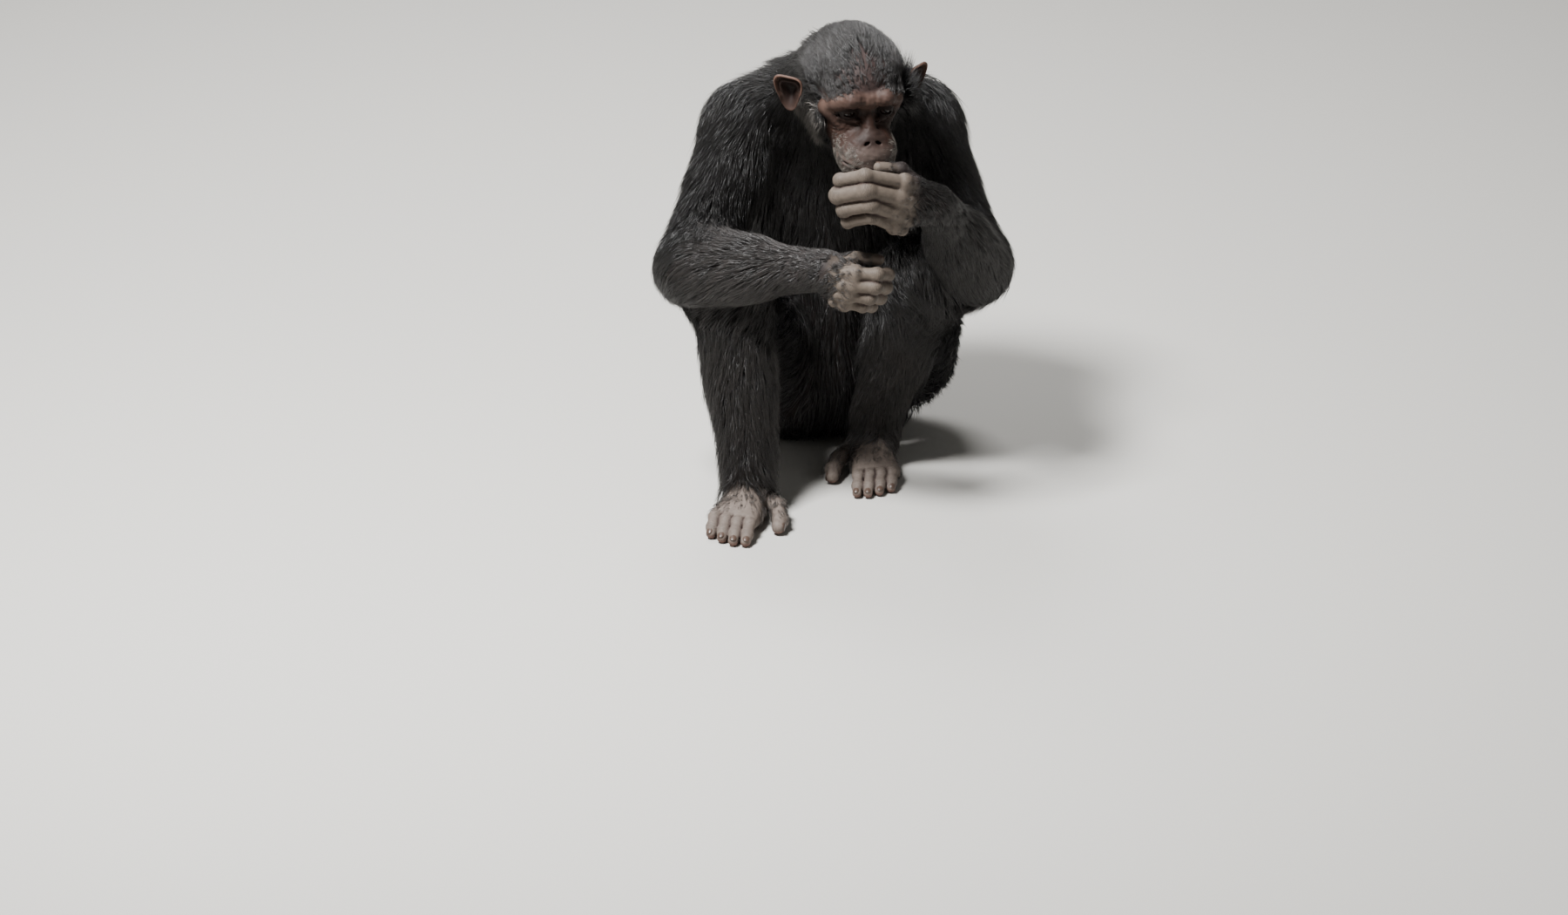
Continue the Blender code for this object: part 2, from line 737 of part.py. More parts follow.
def build_head():
    """Head with mouth, nostrils and eye openings, its two eyes and its two ears."""
    flesh = face_flesh()
    coat = grown(egg(on_head(0, 0.018, 0.018), CROWN_RADII, HEAD_TURN), CROWN_COAT)
    cheeks = [
        rod(on_head(sign * 0.052, -0.004, 0.0), on_head(sign * 0.046, -0.012, -0.060), 0.026, 0.026)
        for sign in (-1, 1)
    ]
    field = melt([flesh, coat, *cheeks], 0.006)
    axis = [on_head(0, 0.030, 0.008), on_head(0, -0.078, -0.054)]

    def on_scalp(point):
        """True behind the hairline, clear of the ears."""
        across, back, up = (point - vec(HEAD_CENTRE)) @ HEAD_TURN
        beside_ear = abs(across) > 0.060 and -0.030 < back < 0.050 and -0.020 < up < 0.050
        return back > -0.020 and not beside_ear and up > -0.075

    def scalp_lie(point):
        """Back over the crown, and down the cheeks."""
        _, back, up = (point - vec(HEAD_CENTRE)) @ HEAD_TURN
        return HEAD_TURN @ (vec(0, 1.0, -0.5) if up > 0.02 else vec(0, 0.5, -1.0))

    head = sleeve("head", field, axis, 0.16, 24, 15, 4, HEAD_TURN[:, 2])
    spine = [on_head(0, 0.060, 0.0), on_head(0, -0.045, 0.0)]
    add_locks(head, field, spine, scalp_lie, 3, 8, (0.055, 0.026, 0.006), 0.16, on_scalp)
    cut_away(head, mouth_cutter())
    for side, sign in (("right", -1), ("left", 1)):
        nostril = on_head(vec(NOSTRIL) * (sign, 1, 1))
        cut_away(head, ball("nostril", nostril, NOSTRIL_RADII, HEAD_TURN, 6, 3))
        centre = on_head(sign * EYE_X, EYE_Y, EYE_Z)
        eye = ball(f"eye_{side}", centre, (EYE_R, EYE_R, EYE_R), HEAD_TURN, 12, 6)
        slit = on_head(sign * EYE_X, EYE_Y - EYE_R - 0.004, EYE_Z - 0.0005)
        cut_away(head, ball("slit", slit, SLIT_RADII, HEAD_TURN, 10, 5))
        clear_of(head, eye)
        ear_turn = HEAD_TURN @ turn(sign * EAR_YAW, 0, sign * EAR_ROLL)
        ear_place = on_head(vec(EAR_PLACE) * (sign, 1, 1))
        ear = ball(f"ear_{side}", ear_place, EAR_RADII, ear_turn, 14, 6)
        hollow_place = ear_place + ear_turn @ vec(sign * 0.001, -EAR_RADII[1], 0.001)
        cut_away(ear, ball("cup", hollow_place, EAR_CUP_RADII, ear_turn, 12, 5))
        clear_of(ear, head)


def build_trunk():
    """Neck, chest, belly and pelvis, sliced across the spine."""
    field = grown(melt(trunk_flesh(), 0.05), TRUNK_COAT * CORE_SHARE)
    rise = TRUNK_COAT * (1 - CORE_SHARE)
    neck_plane = (vec(0.014, -0.058, 0.574), unit(NECK_TOP - NECK_BASE))
    waist_plane = (vec(0, 0, 0.335), vec(0, 0, 1))
    hip_plane = (vec(0, 0, 0.190), vec(0, 0, 1))
    neck = sleeve("neck", field, [NECK_BASE, NECK_TOP], 0.15, 16, 6, 2)
    keep_after(neck, neck_plane)
    add_locks(
        neck, field, [NECK_BASE, NECK_TOP], lambda p: (0, 1.0, -0.8), 1, 9, (0.070, 0.040, rise), 0.15,
        lambda p: (p - NECK_BASE) @ neck_plane[1] > 0.055 and p[1] > -0.16,
    )
    clear_of(neck, bpy.data.objects["head"], bpy.data.objects["ear_right"], bpy.data.objects["ear_left"])
    chest = sleeve("chest", field, [(0, 0, 0.33), (0.004, -0.005, 0.520)], 0.20, 20, 8, 3)
    keep_before(chest, neck_plane)
    keep_after(chest, waist_plane)
    add_locks(
        chest, field, [(0, 0, 0.35), (0, 0, 0.56)], lambda p: (p[0] * 1.5, 0, -1.0), 3, 8,
        (0.085, 0.042, rise), 0.20, lambda p: p[1] > -0.07,
    )
    clear_of(chest, bpy.data.objects["head"], neck)
    belly = sleeve("belly", field, [(0, 0, 0.170), (0, 0, 0.350)], 0.20, 20, 6, 1)
    keep_before(belly, waist_plane)
    keep_after(belly, hip_plane)
    add_locks(
        belly, field, [(0, 0, 0.21), (0, 0, 0.33)], lambda p: (0, 0, -1.0), 1, 9, (0.085, 0.042, rise), 0.20,
        lambda p: p[1] > -0.03,
    )
    clear_of(belly, chest)
    pelvis = sleeve("pelvis", field, [(0, 0, 0.075), (0, 0, 0.200)], 0.20, 20, 6, 3)
    keep_before(pelvis, hip_plane)
    add_locks(
        pelvis, field, [(0, 0, 0.10), (0, 0, 0.19)], lambda p: (0, 0, -1.0), 1, 10,
        (0.060, 0.040, rise), 0.20, lambda p: p[1] > -0.02,
    )
    clear_of(pelvis, belly, chest)
    keep_after(pelvis, FLOOR, 0)
    return neck, chest, belly, pelvis


def build_leg(side, trunk):
    """Thigh, shin, foot and toes."""
    flesh = leg_flesh(side)
    hip, knee, ankle = HIP[side], KNEE[side], ANKLE[side]
    knee_plane = miter(hip, knee, ankle)
    heel_plane = (vec(ankle) + vec(0, 0, -0.010), vec(0, 0, -1))
    core = LIMB_COAT * CORE_SHARE
    field = grown(melt(flesh, 0.02), core)
    thigh = sleeve(f"thigh_{side}", field, [hip, knee], 0.115, 12, 7, 2)
    keep_before(thigh, knee_plane)
    down_thigh = unit(vec(knee) - vec(hip)) + vec(0, 0, -0.6)
    add_locks(
        thigh, field, [hip, knee], lambda p: down_thigh, 3, 5, (0.080, 0.038, core), 0.13,
        lambda p: not inside_any(p, trunk),
    )
    clear_of(thigh, *trunk)
    lower = melt([grown(melt(flesh, 0.02), core), melt(foot_flesh(side), 0.012)], 0.02)
    shin = sleeve(f"shin_{side}", lower, [knee, ankle], 0.080, 12, 7, 2)
    keep_after(shin, knee_plane)
    keep_before(shin, heel_plane)
    down_shin = unit(vec(ankle) - vec(knee))
    add_locks(
        shin, lower, [mix(knee, ankle, 0.08), mix(knee, ankle, 0.80)], lambda p: down_shin, 3, 4,
        (0.070, 0.032, core * 0.8), 0.10,
    )
    clear_of(shin, *trunk, thigh)
    axis = [on_foot(side, -HEEL_BACK + 0.010, 0, 0.030), on_foot(side, BALL_AHEAD + 0.004, -0.010, 0.018)]
    foot = sleeve(f"foot_{side}", lower, axis, 0.085, 12, 8, 2, (0, 0, 1))
    ball_plane = (on_foot(side, BALL_AHEAD, 0, 0), foot_frame(side)[1])
    keep_after(foot, heel_plane)
    keep_before(foot, ball_plane)
    keep_after(foot, FLOOR, 0)
    made = []
    for name, run in toe_paths(side).items():
        radius = BIG_TOE_R if name == "big_toe" else TOE_R
        toe = tube(f"{name}_{side}", run, (radius, radius * 0.95, radius, radius * 0.85), 6, 5)
        keep_after(toe, FLOOR, 0)
        if name == "big_toe":
            clear_of(foot, toe)
        else:
            keep_after(toe, ball_plane)
        clear_of(toe, *made)
        made.append(toe)
    clear_of(foot, *trunk[2:], thigh, shin)
    return [thigh, shin, foot, *made]


def build_arm(side, others):
    """Upper arm, forearm, hand and fingers."""
    shoulder, elbow, wrist = SHOULDER[side], ELBOW[side], WRIST[side]
    flesh = arm_flesh(side)
    elbow_plane = miter(shoulder, elbow, wrist)
    knuckles = [vec(joints[0]) for joints in FINGERS[side].values()]
    middle = sum(knuckles) / len(knuckles)
    wrist_plane = miter(elbow, wrist, middle)
    core = LIMB_COAT * CORE_SHARE
    upper_field = grown(melt(flesh, 0.03), core)
    upper = sleeve(f"upper_arm_{side}", upper_field, [shoulder, elbow], 0.10, 12, 7, 2)
    keep_before(upper, elbow_plane)
    down_arm = unit(vec(elbow) - vec(shoulder)) + vec(0, 0, -0.3)
    add_locks(
        upper, upper_field, [shoulder, mix(shoulder, elbow, 0.92)], lambda p: down_arm, 3, 5,
        (0.085, 0.038, core), 0.12, lambda p: not inside_any(p, others),
    )
    clear_of(upper, *others)
    sleeve_end = rod(elbow, wrist, 0.042 + core, 0.027 + core * 0.5)
    fore_field = melt([sleeve_end, grown(melt(flesh[2:], 0.02), core)], 0.02)
    hand_field = melt(hand_flesh(side), 0.010)
    lower = melt([fore_field, hand_field], 0.015)
    fore = sleeve(f"forearm_{side}", lower, [elbow, wrist], 0.075, 12, 8, 2)
    keep_after(fore, elbow_plane)
    keep_before(fore, wrist_plane)
    up_forearm = unit(vec(elbow) - vec(wrist)) + vec(0, 0, -0.55)
    add_locks(
        fore, lower, [mix(elbow, wrist, 0.04), mix(elbow, wrist, 0.78)], lambda p: up_forearm, 3, 4,
        (0.075, 0.034, core), 0.10,
    )
    made = []
    for name, radius in FINGER_R.items():
        run = finger_run(side, name)
        finger = tube(f"{name}_{side}", run, radius * vec(FINGER_TAPER), 6, 8)
        keep_after(finger, knuckle_plane(side))
        clear_of(finger, *made)
        made.append(finger)
    thumb = tube(f"thumb_{side}", THUMBS[side], THUMB_R * vec(THUMB_TAPER), 6, 5)
    clear_of(thumb, *made)
    made.append(thumb)
    hand = sleeve(f"hand_{side}", melt([hand_field, lower], 0.004), [wrist, middle], 0.065, 14, 7, 1)
    keep_after(hand, wrist_plane)
    keep_before(hand, knuckle_plane(side))
    clear_of(hand, thumb, fore, *others)
    clear_of(fore, upper, thumb, *others)
    return [upper, fore, hand, *made]


SLOTS = {
    "coat": ((0.012, 0.011, 0.011), 0.62),
    "hand_skin": ((0.110, 0.090, 0.078), 0.60),
    "foot_skin": ((0.200, 0.145, 0.125), 0.60),
    "ear_skin": ((0.150, 0.075, 0.055), 0.55),
    "eye": ((0.020, 0.010, 0.006), 0.08),
}
SLOT_OF = {
    "head": "coat",
    "ear": "ear_skin",
    "eye": "eye",
    "hand": "hand_skin",
    "thumb": "hand_skin",
    "index": "hand_skin",
    "middle": "hand_skin",
    "ring": "hand_skin",
    "little": "hand_skin",
    "foot": "foot_skin",
    "toe": "foot_skin",
    "big": "foot_skin",
}


def dress():
    """Gives every part its own material, and shades it smooth."""
    for obj in MODEL.objects:
        slot = SLOT_OF.get(obj.name.split("_")[0], "coat")
        colour, rough = SLOTS[slot]
        material = bpy.data.materials.get(slot) or bpy.data.materials.new(slot)
        material.use_nodes = True
        shader = material.node_tree.nodes["Principled BSDF"]
        shader.inputs["Base Color"].default_value = (*colour, 1)
        shader.inputs["Roughness"].default_value = rough
        obj.data.materials.clear()
        obj.data.materials.append(material)
        obj.data.shade_smooth()


def build():
    """Every named part, in the order in which they cut one another clear."""
    build_head()
    trunk = build_trunk()
    right_leg = build_leg("right", trunk)
    left_leg = build_leg("left", [*trunk, *right_leg[:2]])
    solid = [*trunk, *right_leg[:2], *left_leg[:2]]
    right_arm = build_arm("right", solid)
    build_arm("left", [*solid, *right_arm[:2]])
    dress()


build()
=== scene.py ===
import logging
import math
from collections.abc import Callable
from dataclasses import dataclass, field
from enum import Enum

import bpy
import numpy as np
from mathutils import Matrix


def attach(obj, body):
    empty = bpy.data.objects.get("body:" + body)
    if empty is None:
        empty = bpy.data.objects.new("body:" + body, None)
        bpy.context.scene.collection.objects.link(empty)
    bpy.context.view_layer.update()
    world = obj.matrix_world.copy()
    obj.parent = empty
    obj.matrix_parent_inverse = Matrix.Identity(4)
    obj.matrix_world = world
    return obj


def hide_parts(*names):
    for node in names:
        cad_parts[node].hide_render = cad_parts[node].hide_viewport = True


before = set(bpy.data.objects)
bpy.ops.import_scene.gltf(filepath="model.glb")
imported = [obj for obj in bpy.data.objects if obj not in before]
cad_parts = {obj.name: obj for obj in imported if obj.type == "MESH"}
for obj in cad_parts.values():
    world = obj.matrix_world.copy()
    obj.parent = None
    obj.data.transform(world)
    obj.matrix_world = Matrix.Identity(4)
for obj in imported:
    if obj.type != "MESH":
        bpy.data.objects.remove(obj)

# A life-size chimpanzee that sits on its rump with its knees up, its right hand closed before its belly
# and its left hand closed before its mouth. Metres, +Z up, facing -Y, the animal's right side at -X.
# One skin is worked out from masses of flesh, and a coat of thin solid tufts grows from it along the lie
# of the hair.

Array = np.ndarray
Field = Callable[[Array], Array]
LOG = logging.getLogger("chimpanzee")
BODY = "root"
LEVEL = np.eye(3)  # axes of a mass that isn't turned
BOX_GAP = 0.03  # added to the way to a box, so that its mass never reads as near from outside
FULL_TURN = 2 * math.pi
AWAY = 0.05  # added to a patch's distance where another patch takes its place


class Side(Enum):
    """A side of the animal, with the sign of X on that side."""

    RIGHT = -1
    LEFT = 1

    @property
    def label(self) -> str:
        """The side's name in lower case, as the frame's nodes have it."""
        return self.name.lower()


# Vectors


def vec(*numbers: float | Array) -> Array:
    """The numbers, or one sequence of them, as a float array."""
    return np.array(numbers[0] if len(numbers) == 1 else numbers, float)


def unit(vectors: Array) -> Array:
    """The vectors at length one, along their last axis."""
    return vectors / np.maximum(np.linalg.norm(vectors, axis=-1, keepdims=True), 1e-12)


def mix(a: Array, b: Array, share: float) -> Array:
    """The point that lies share of the way from a to b."""
    return fade(vec(a), vec(b), share)


def ways(across: Array, back: Array | float, up: Array | float) -> Array:
    """Directions put together from their three parts, of which some may be one number for all."""
    return np.stack(np.broadcast_arrays(across, back, up), axis=1)


def fade(a: Array, b: Array, share: Array) -> Array:
    """Goes from a to b by a share that may differ from row to row."""
    return a * (1 - share) + b * share


def dot(a: Array, b: Array) -> Array:
    """Dot products along the last axis, kept as a column."""
    return np.sum(a * b, axis=-1, keepdims=True)


def ease(values: Array, low: float, high: float) -> Array:
    """Smooth step: 0 at low and below, 1 at high and above."""
    share = np.clip((values - low) / (high - low), 0, 1)
    return share * share * (3 - 2 * share)


def bell(values: Array, centre: float, width: float) -> Array:
    """Bell curve: 1 at the centre, and 1/e a width away from it."""
    return np.exp(-(((values - centre) / width) ** 2))


def turn(yaw: float, pitch: float, roll: float) -> Array:
    """Rotation that rolls, then nods forward by pitch, then turns to the animal's left by yaw, in degrees.

    Args:
        yaw: turn about Z.
        pitch: turn about X.
        roll: turn about Y.

    Returns:
        The (3, 3) rotation.
    """
    y, p, r = np.radians((yaw, pitch, roll))
    about_z = vec([[math.cos(y), -math.sin(y), 0], [math.sin(y), math.cos(y), 0], [0, 0, 1]])
    about_x = vec([[1, 0, 0], [0, math.cos(p), -math.sin(p)], [0, math.sin(p), math.cos(p)]])
    about_y = vec([[math.cos(r), 0, math.sin(r)], [0, 1, 0], [-math.sin(r), 0, math.cos(r)]])
    return about_z @ about_x @ about_y


def rough(points: Array, size: float, seed: int, waves: int = 6) -> Array:
    """Smooth lumps about size across, from -1 to 1: the mean of sine waves in random directions.

    Args:
        points: (n, 3) places in the frame.
        size: size of a lump.
        seed: seed of the waves.
        waves: how many waves.

    Returns:
        A height for each point.
    """
    rng = np.random.default_rng(seed)
    runs = unit(rng.normal(size=(waves, 3))) * rng.uniform(0.7, 1.4, (waves, 1)) * math.pi / size
    return np.sin(points @ runs.T + rng.uniform(0, 6.28, waves)).mean(axis=1) * 1.6


# Masses of flesh: each is a function of points that gives the distance to its surface, negative inside


def rod(a: Array, b: Array, ra: float, rb: float) -> Field:
    """A tapered rod: distance to the segment a-b less a radius that goes evenly from ra to rb.

    Args:
        a: its start.
        b: its end.
        ra: radius at a.
        rb: radius at b.

    Returns:
        Its distance function.
    """
    a, b = vec(a), vec(b)
    length = b - a
    along = length @ length

    def distance(points: Array) -> Array:
        """Distance to the rod."""
        offset = points - a
        share = np.clip(offset @ length / along, 0, 1)
        across = offset - share[:, None] * length
        return np.sqrt(np.einsum("ij,ij->i", across, across)) - (ra + (rb - ra) * share)

    return distance


def egg(centre: Array, radii: Array, axes: Array = LEVEL) -> Field:
    """An ellipsoid: k (k - 1) / |gradient of k|, where k is the point's length in units of the radii.

    Args:
        centre: its middle.
        radii: its half sizes along its own axes.
        axes: its axes, as columns.

    Returns:
        Its distance function.
    """
    centre, radii = vec(centre), vec(radii)

    def distance(points: Array) -> Array:
        """Distance to the ellipsoid."""
        local = (points - centre) @ axes
        near = np.sqrt(np.sum((local / radii) ** 2, axis=1))
        slope = np.sqrt(np.sum((local / radii**2) ** 2, axis=1))
        return near * (near - 1) / np.maximum(slope, 1e-9)

    return distance


def melt(masses: list[Field], blend: float) -> Field:
    """Masses in one surface: a smooth minimum of the distances, with a fillet about blend wide.

    Args:
        masses: distance functions.
        blend: width of the fillet.

    Returns:
        The distance function of the whole.
    """

    def distance(points: Array) -> Array:
        """Distance to the masses, melted in one after another."""
        whole = masses[0](points)
        for mass in masses[1:]:
            other = mass(points)
            share = np.clip(0.5 + 0.5 * (other - whole) / blend, 0, 1)
            whole = other * (1 - share) + whole * share - blend * share * (1 - share)
        return whole

    return distance


def carve(body: Field, tools: list[Field], blend: float) -> Field:
    """A body with tools pressed into it: a smooth maximum of the body and the tools' insides.

    Args:
        body: the mass that is cut.
        tools: the masses that cut it.
        blend: width of the softened edge.

    Returns:
        The distance function of what is left.
    """

    def distance(points: Array) -> Array:
        """Distance to what is left of the body."""
        whole = body(points)
        for tool in tools:
            other = -tool(points)
            share = np.clip(0.5 - 0.5 * (other - whole) / blend, 0, 1)
            whole = other * (1 - share) + whole * share + blend * share * (1 - share)
        return whole

    return distance


def within(mass: Field, low: Array, high: Array) -> Field:
    """A mass worked out only inside a box, and given as the distance to that box outside it.

    Args:
        mass: distance function.
        low: the box's lowest corner.
        high: its highest corner.

    Returns:
        The distance function.
    """
    low, high = vec(low), vec(high)

    def distance(points: Array) -> Array:
        """Distance to the mass, or a little more than the way to the box."""
        gap = np.linalg.norm(np.maximum(np.maximum(low - points, points - high), 0), axis=1)
        whole = gap + BOX_GAP
        inside = gap <= 0
        if inside.any():
            whole[inside] = mass(points[inside])
        return whole

    return distance


def slope_of(mass: Field, points: Array, step: float = 0.0008) -> Array:
    """The direction straight out of a mass: central differences of its distance, at length one.

    Args:
        mass: distance function.
        points: (n, 3) places in the frame.
        step: how far apart the distances are taken.

    Returns:
        (n, 3) directions.
    """
    moves = np.eye(3) * step
    return unit(np.stack([mass(points + move) - mass(points - move) for move in moves], axis=1))


def around_ends(mass: Field, ends: list[Array], margin: float) -> Field:
    """A mass worked out only inside the box that stands a margin off a limb's ends."""
    return within(mass, vec(ends).min(0) - margin, vec(ends).max(0) + margin)


def digit(joints: list[Array], radius: float, bulge: float = 1.0, taper: float = 0.86) -> Field:
    """A finger or toe: rods that narrow towards the tip, with a knuckle at each joint.

    Args:
        joints: points from the root to the tip.
        radius: half thickness at the root.
        bulge: a knuckle's size against the digit's.
        taper: half thickness at the tip against the root's.

    Returns:
        The digit's distance function.
    """
    sizes = np.linspace(1.0, taper, len(joints)) * radius
    bones = zip(joints[:-1], joints[1:], sizes[:-1] * 0.97, sizes[1:] * 0.97)
    knuckles = [egg(joint, (size * bulge,) * 3) for joint, size in zip(joints[1:-1], sizes[1:-1])]
    return melt([rod(*bone) for bone in bones] + knuckles, 0.005)


# The animal's measures


@dataclass(frozen=True)
class Limb:
    """The joints of an arm or a leg, from the trunk outwards."""

    root: tuple[float, float, float]
    bend: tuple[float, float, float]
    end: tuple[float, float, float]


def by_finger(*values: float | tuple) -> dict:
    """Values given from the index finger to the little finger, each by its finger's name."""
    return dict(zip(("index", "middle", "ring", "little"), values))


ARMS = {
    Side.RIGHT: Limb((-0.120, -0.018, 0.515), (-0.210, -0.262, 0.372), (-0.005, -0.372, 0.408)),
    Side.LEFT: Limb((0.134, 0.000, 0.515), (0.228, -0.175, 0.340), (0.165, -0.330, 0.500)),
}
LEGS = {
    Side.RIGHT: Limb((-0.090, -0.045, 0.140), (-0.147, -0.245, 0.315), (-0.122, -0.335, 0.078)),
    Side.LEFT: Limb((0.105, 0.015, 0.128), (0.150, -0.170, 0.322), (0.078, -0.140, 0.078)),
}
FOOT_HEADING = {Side.RIGHT: (-0.17, -0.985, 0.0), Side.LEFT: (-0.06, -0.998, 0.0)}
FINGERS = {
    Side.RIGHT: by_finger(
        ((0.042, -0.402, 0.414), (0.075, -0.406, 0.414), (0.091, -0.380, 0.404), (0.076, -0.352, 0.396)),
        ((0.038, -0.406, 0.396), (0.072, -0.409, 0.395), (0.088, -0.383, 0.385), (0.072, -0.354, 0.377)),
        ((0.032, -0.402, 0.379), (0.064, -0.405, 0.376), (0.080, -0.379, 0.366), (0.065, -0.352, 0.358)),
        ((0.025, -0.394, 0.363), (0.053, -0.397, 0.359), (0.067, -0.374, 0.350), (0.054, -0.350, 0.344)),
    ),
    Side.LEFT: by_finger(
        ((0.117, -0.392, 0.560), (0.056, -0.418, 0.580), (0.018, -0.400, 0.566), (0.020, -0.368, 0.552)),
        ((0.108, -0.397, 0.537), (0.059, -0.421, 0.557), (0.015, -0.402, 0.542), (0.016, -0.370, 0.528)),
        ((0.100, -0.399, 0.513), (0.066, -0.421, 0.534), (0.024, -0.404, 0.520), (0.023, -0.372, 0.504)),
        ((0.101, -0.394, 0.489), (0.068, -0.413, 0.511), (0.030, -0.399, 0.498), (0.030, -0.370, 0.484)),
    ),
}
THUMBS = {
    Side.RIGHT: ((0.012, -0.360, 0.412), (0.044, -0.372, 0.428), (0.078, -0.370, 0.425)),
    Side.LEFT: ((0.150, -0.345, 0.530), (0.112, -0.350, 0.566), (0.078, -0.360, 0.572)),
}
FINGER_R = {
    Side.RIGHT: by_finger(0.0112, 0.0116, 0.0110, 0.0098),
    Side.LEFT: by_finger(0.0112, 0.0150, 0.0127, 0.0106),
}
THUMB_R = 0.0106
HEAD_CENTRE = vec(0.040, -0.190, 0.644)
HEAD_TURN = turn(17.0, 15.0, 1.0)
EYE = vec(0.0285, -0.0655, 0.0)
EYE_R = 0.0115


def on_head(*local: float | Array) -> Array:
    """A point of the head, given across, back and up from its centre, in the frame."""
    return HEAD_CENTRE + vec(*local) @ HEAD_TURN.T


def head_local(points: Array) -> Array:
    """Points of the frame given across, back and up from the centre of the head."""
    return (points - HEAD_CENTRE) @ HEAD_TURN


@dataclass
class Trunk:
    """Pelvis, belly, rib cage, shoulders and neck."""

    neck_base: tuple[float, float, float] = (0.010, -0.020, 0.530)
    blend: float = 0.05

    def neck(self) -> Field:
        """The neck, from between the shoulders up into the skull."""
        return rod(self.neck_base, on_head(0, 0.045, -0.010), 0.088, 0.066)

    def flesh(self) -> Field:
        """The trunk's masses melted together."""
        hips = turn(20, 0, 0)
        masses = [
            egg((0.000, 0.000, 0.120), (0.125, 0.105, 0.110), hips),
            egg((-0.062, -0.010, 0.058), (0.066, 0.072, 0.054), hips),
            egg((0.066, 0.010, 0.058), (0.068, 0.072, 0.054), hips),
            egg((0.000, 0.000, 0.250), (0.128, 0.118, 0.120)),
            egg((0.000, 0.004, 0.400), (0.150, 0.124, 0.150)),
            egg((0.003, -0.005, 0.500), (0.150, 0.100, 0.080)),
            egg((0.000, 0.020, 0.545), (0.128, 0.070, 0.050)),
            self.neck(),
        ]
        return within(melt(masses, self.blend), (-0.20, -0.30, -0.03), (0.20, 0.17, 0.74))


@dataclass
class Arm:
    """Upper arm, forearm, hand and fingers of one side."""

    side: Side

    @property
    def joints(self) -> Limb:
        """Shoulder, elbow and wrist."""
        return ARMS[self.side]

    def upper(self) -> list[Field]:
        """Shoulder and upper arm."""
        shoulder, elbow = self.joints.root, self.joints.bend
        return [egg(shoulder, (0.060, 0.060, 0.062)), rod(shoulder, elbow, 0.056, 0.043)]

    def flesh(self) -> Field:
        """Upper arm and forearm, with the swell of the muscles."""
        ends = _, elbow, wrist = self.joints.root, self.joints.bend, self.joints.end
        masses = [
            *self.upper(),
            rod(mix(elbow, wrist, 0.12), mix(elbow, wrist, 0.45), 0.045, 0.042),
            rod(elbow, wrist, 0.042, 0.027),
        ]
        return around_ends(melt(masses, 0.03), ends, 0.09)

    def hand(self) -> Field:
        """Back of the hand, with a bone to each finger, and the fingers and thumb with knuckles."""
        wrist = vec(self.joints.end)
        bones = [rod(mix(self.joints.bend, wrist, 0.8), wrist, 0.029, 0.026)]
        digits = []
        for name, joints in FINGERS[self.side].items():
            joints, radius = [vec(joint) for joint in joints], FINGER_R[self.side][name]
            root = joints[0] - unit(joints[1] - joints[0]) * 0.016
            bones.append(rod(wrist, joints[0], 0.019, 0.0118))
            digits.append(digit([root, *joints], radius))
        knuckles = [vec(joints[0]) for joints in FINGERS[self.side].values()]
        bones.append(rod(knuckles[0], knuckles[-1], 0.011, 0.010))
        thumb = [vec(joint) for joint in THUMBS[self.side]]
        bones.append(rod(wrist, thumb[0], 0.020, 0.0135))
        bones.append(rod(mix(thumb[0], thumb[1], 0.6), mix(wrist, knuckles[0], 0.8), 0.0085, 0.0085))
        digits.append(digit(thumb, THUMB_R))
        hand = melt([melt(bones, 0.012), *digits], 0.0018)
        reach = vec([wrist, *knuckles, *(joints[2] for joints in FINGERS[self.side].values())])
        return within(hand, reach.min(0) - 0.07, reach.max(0) + 0.06)


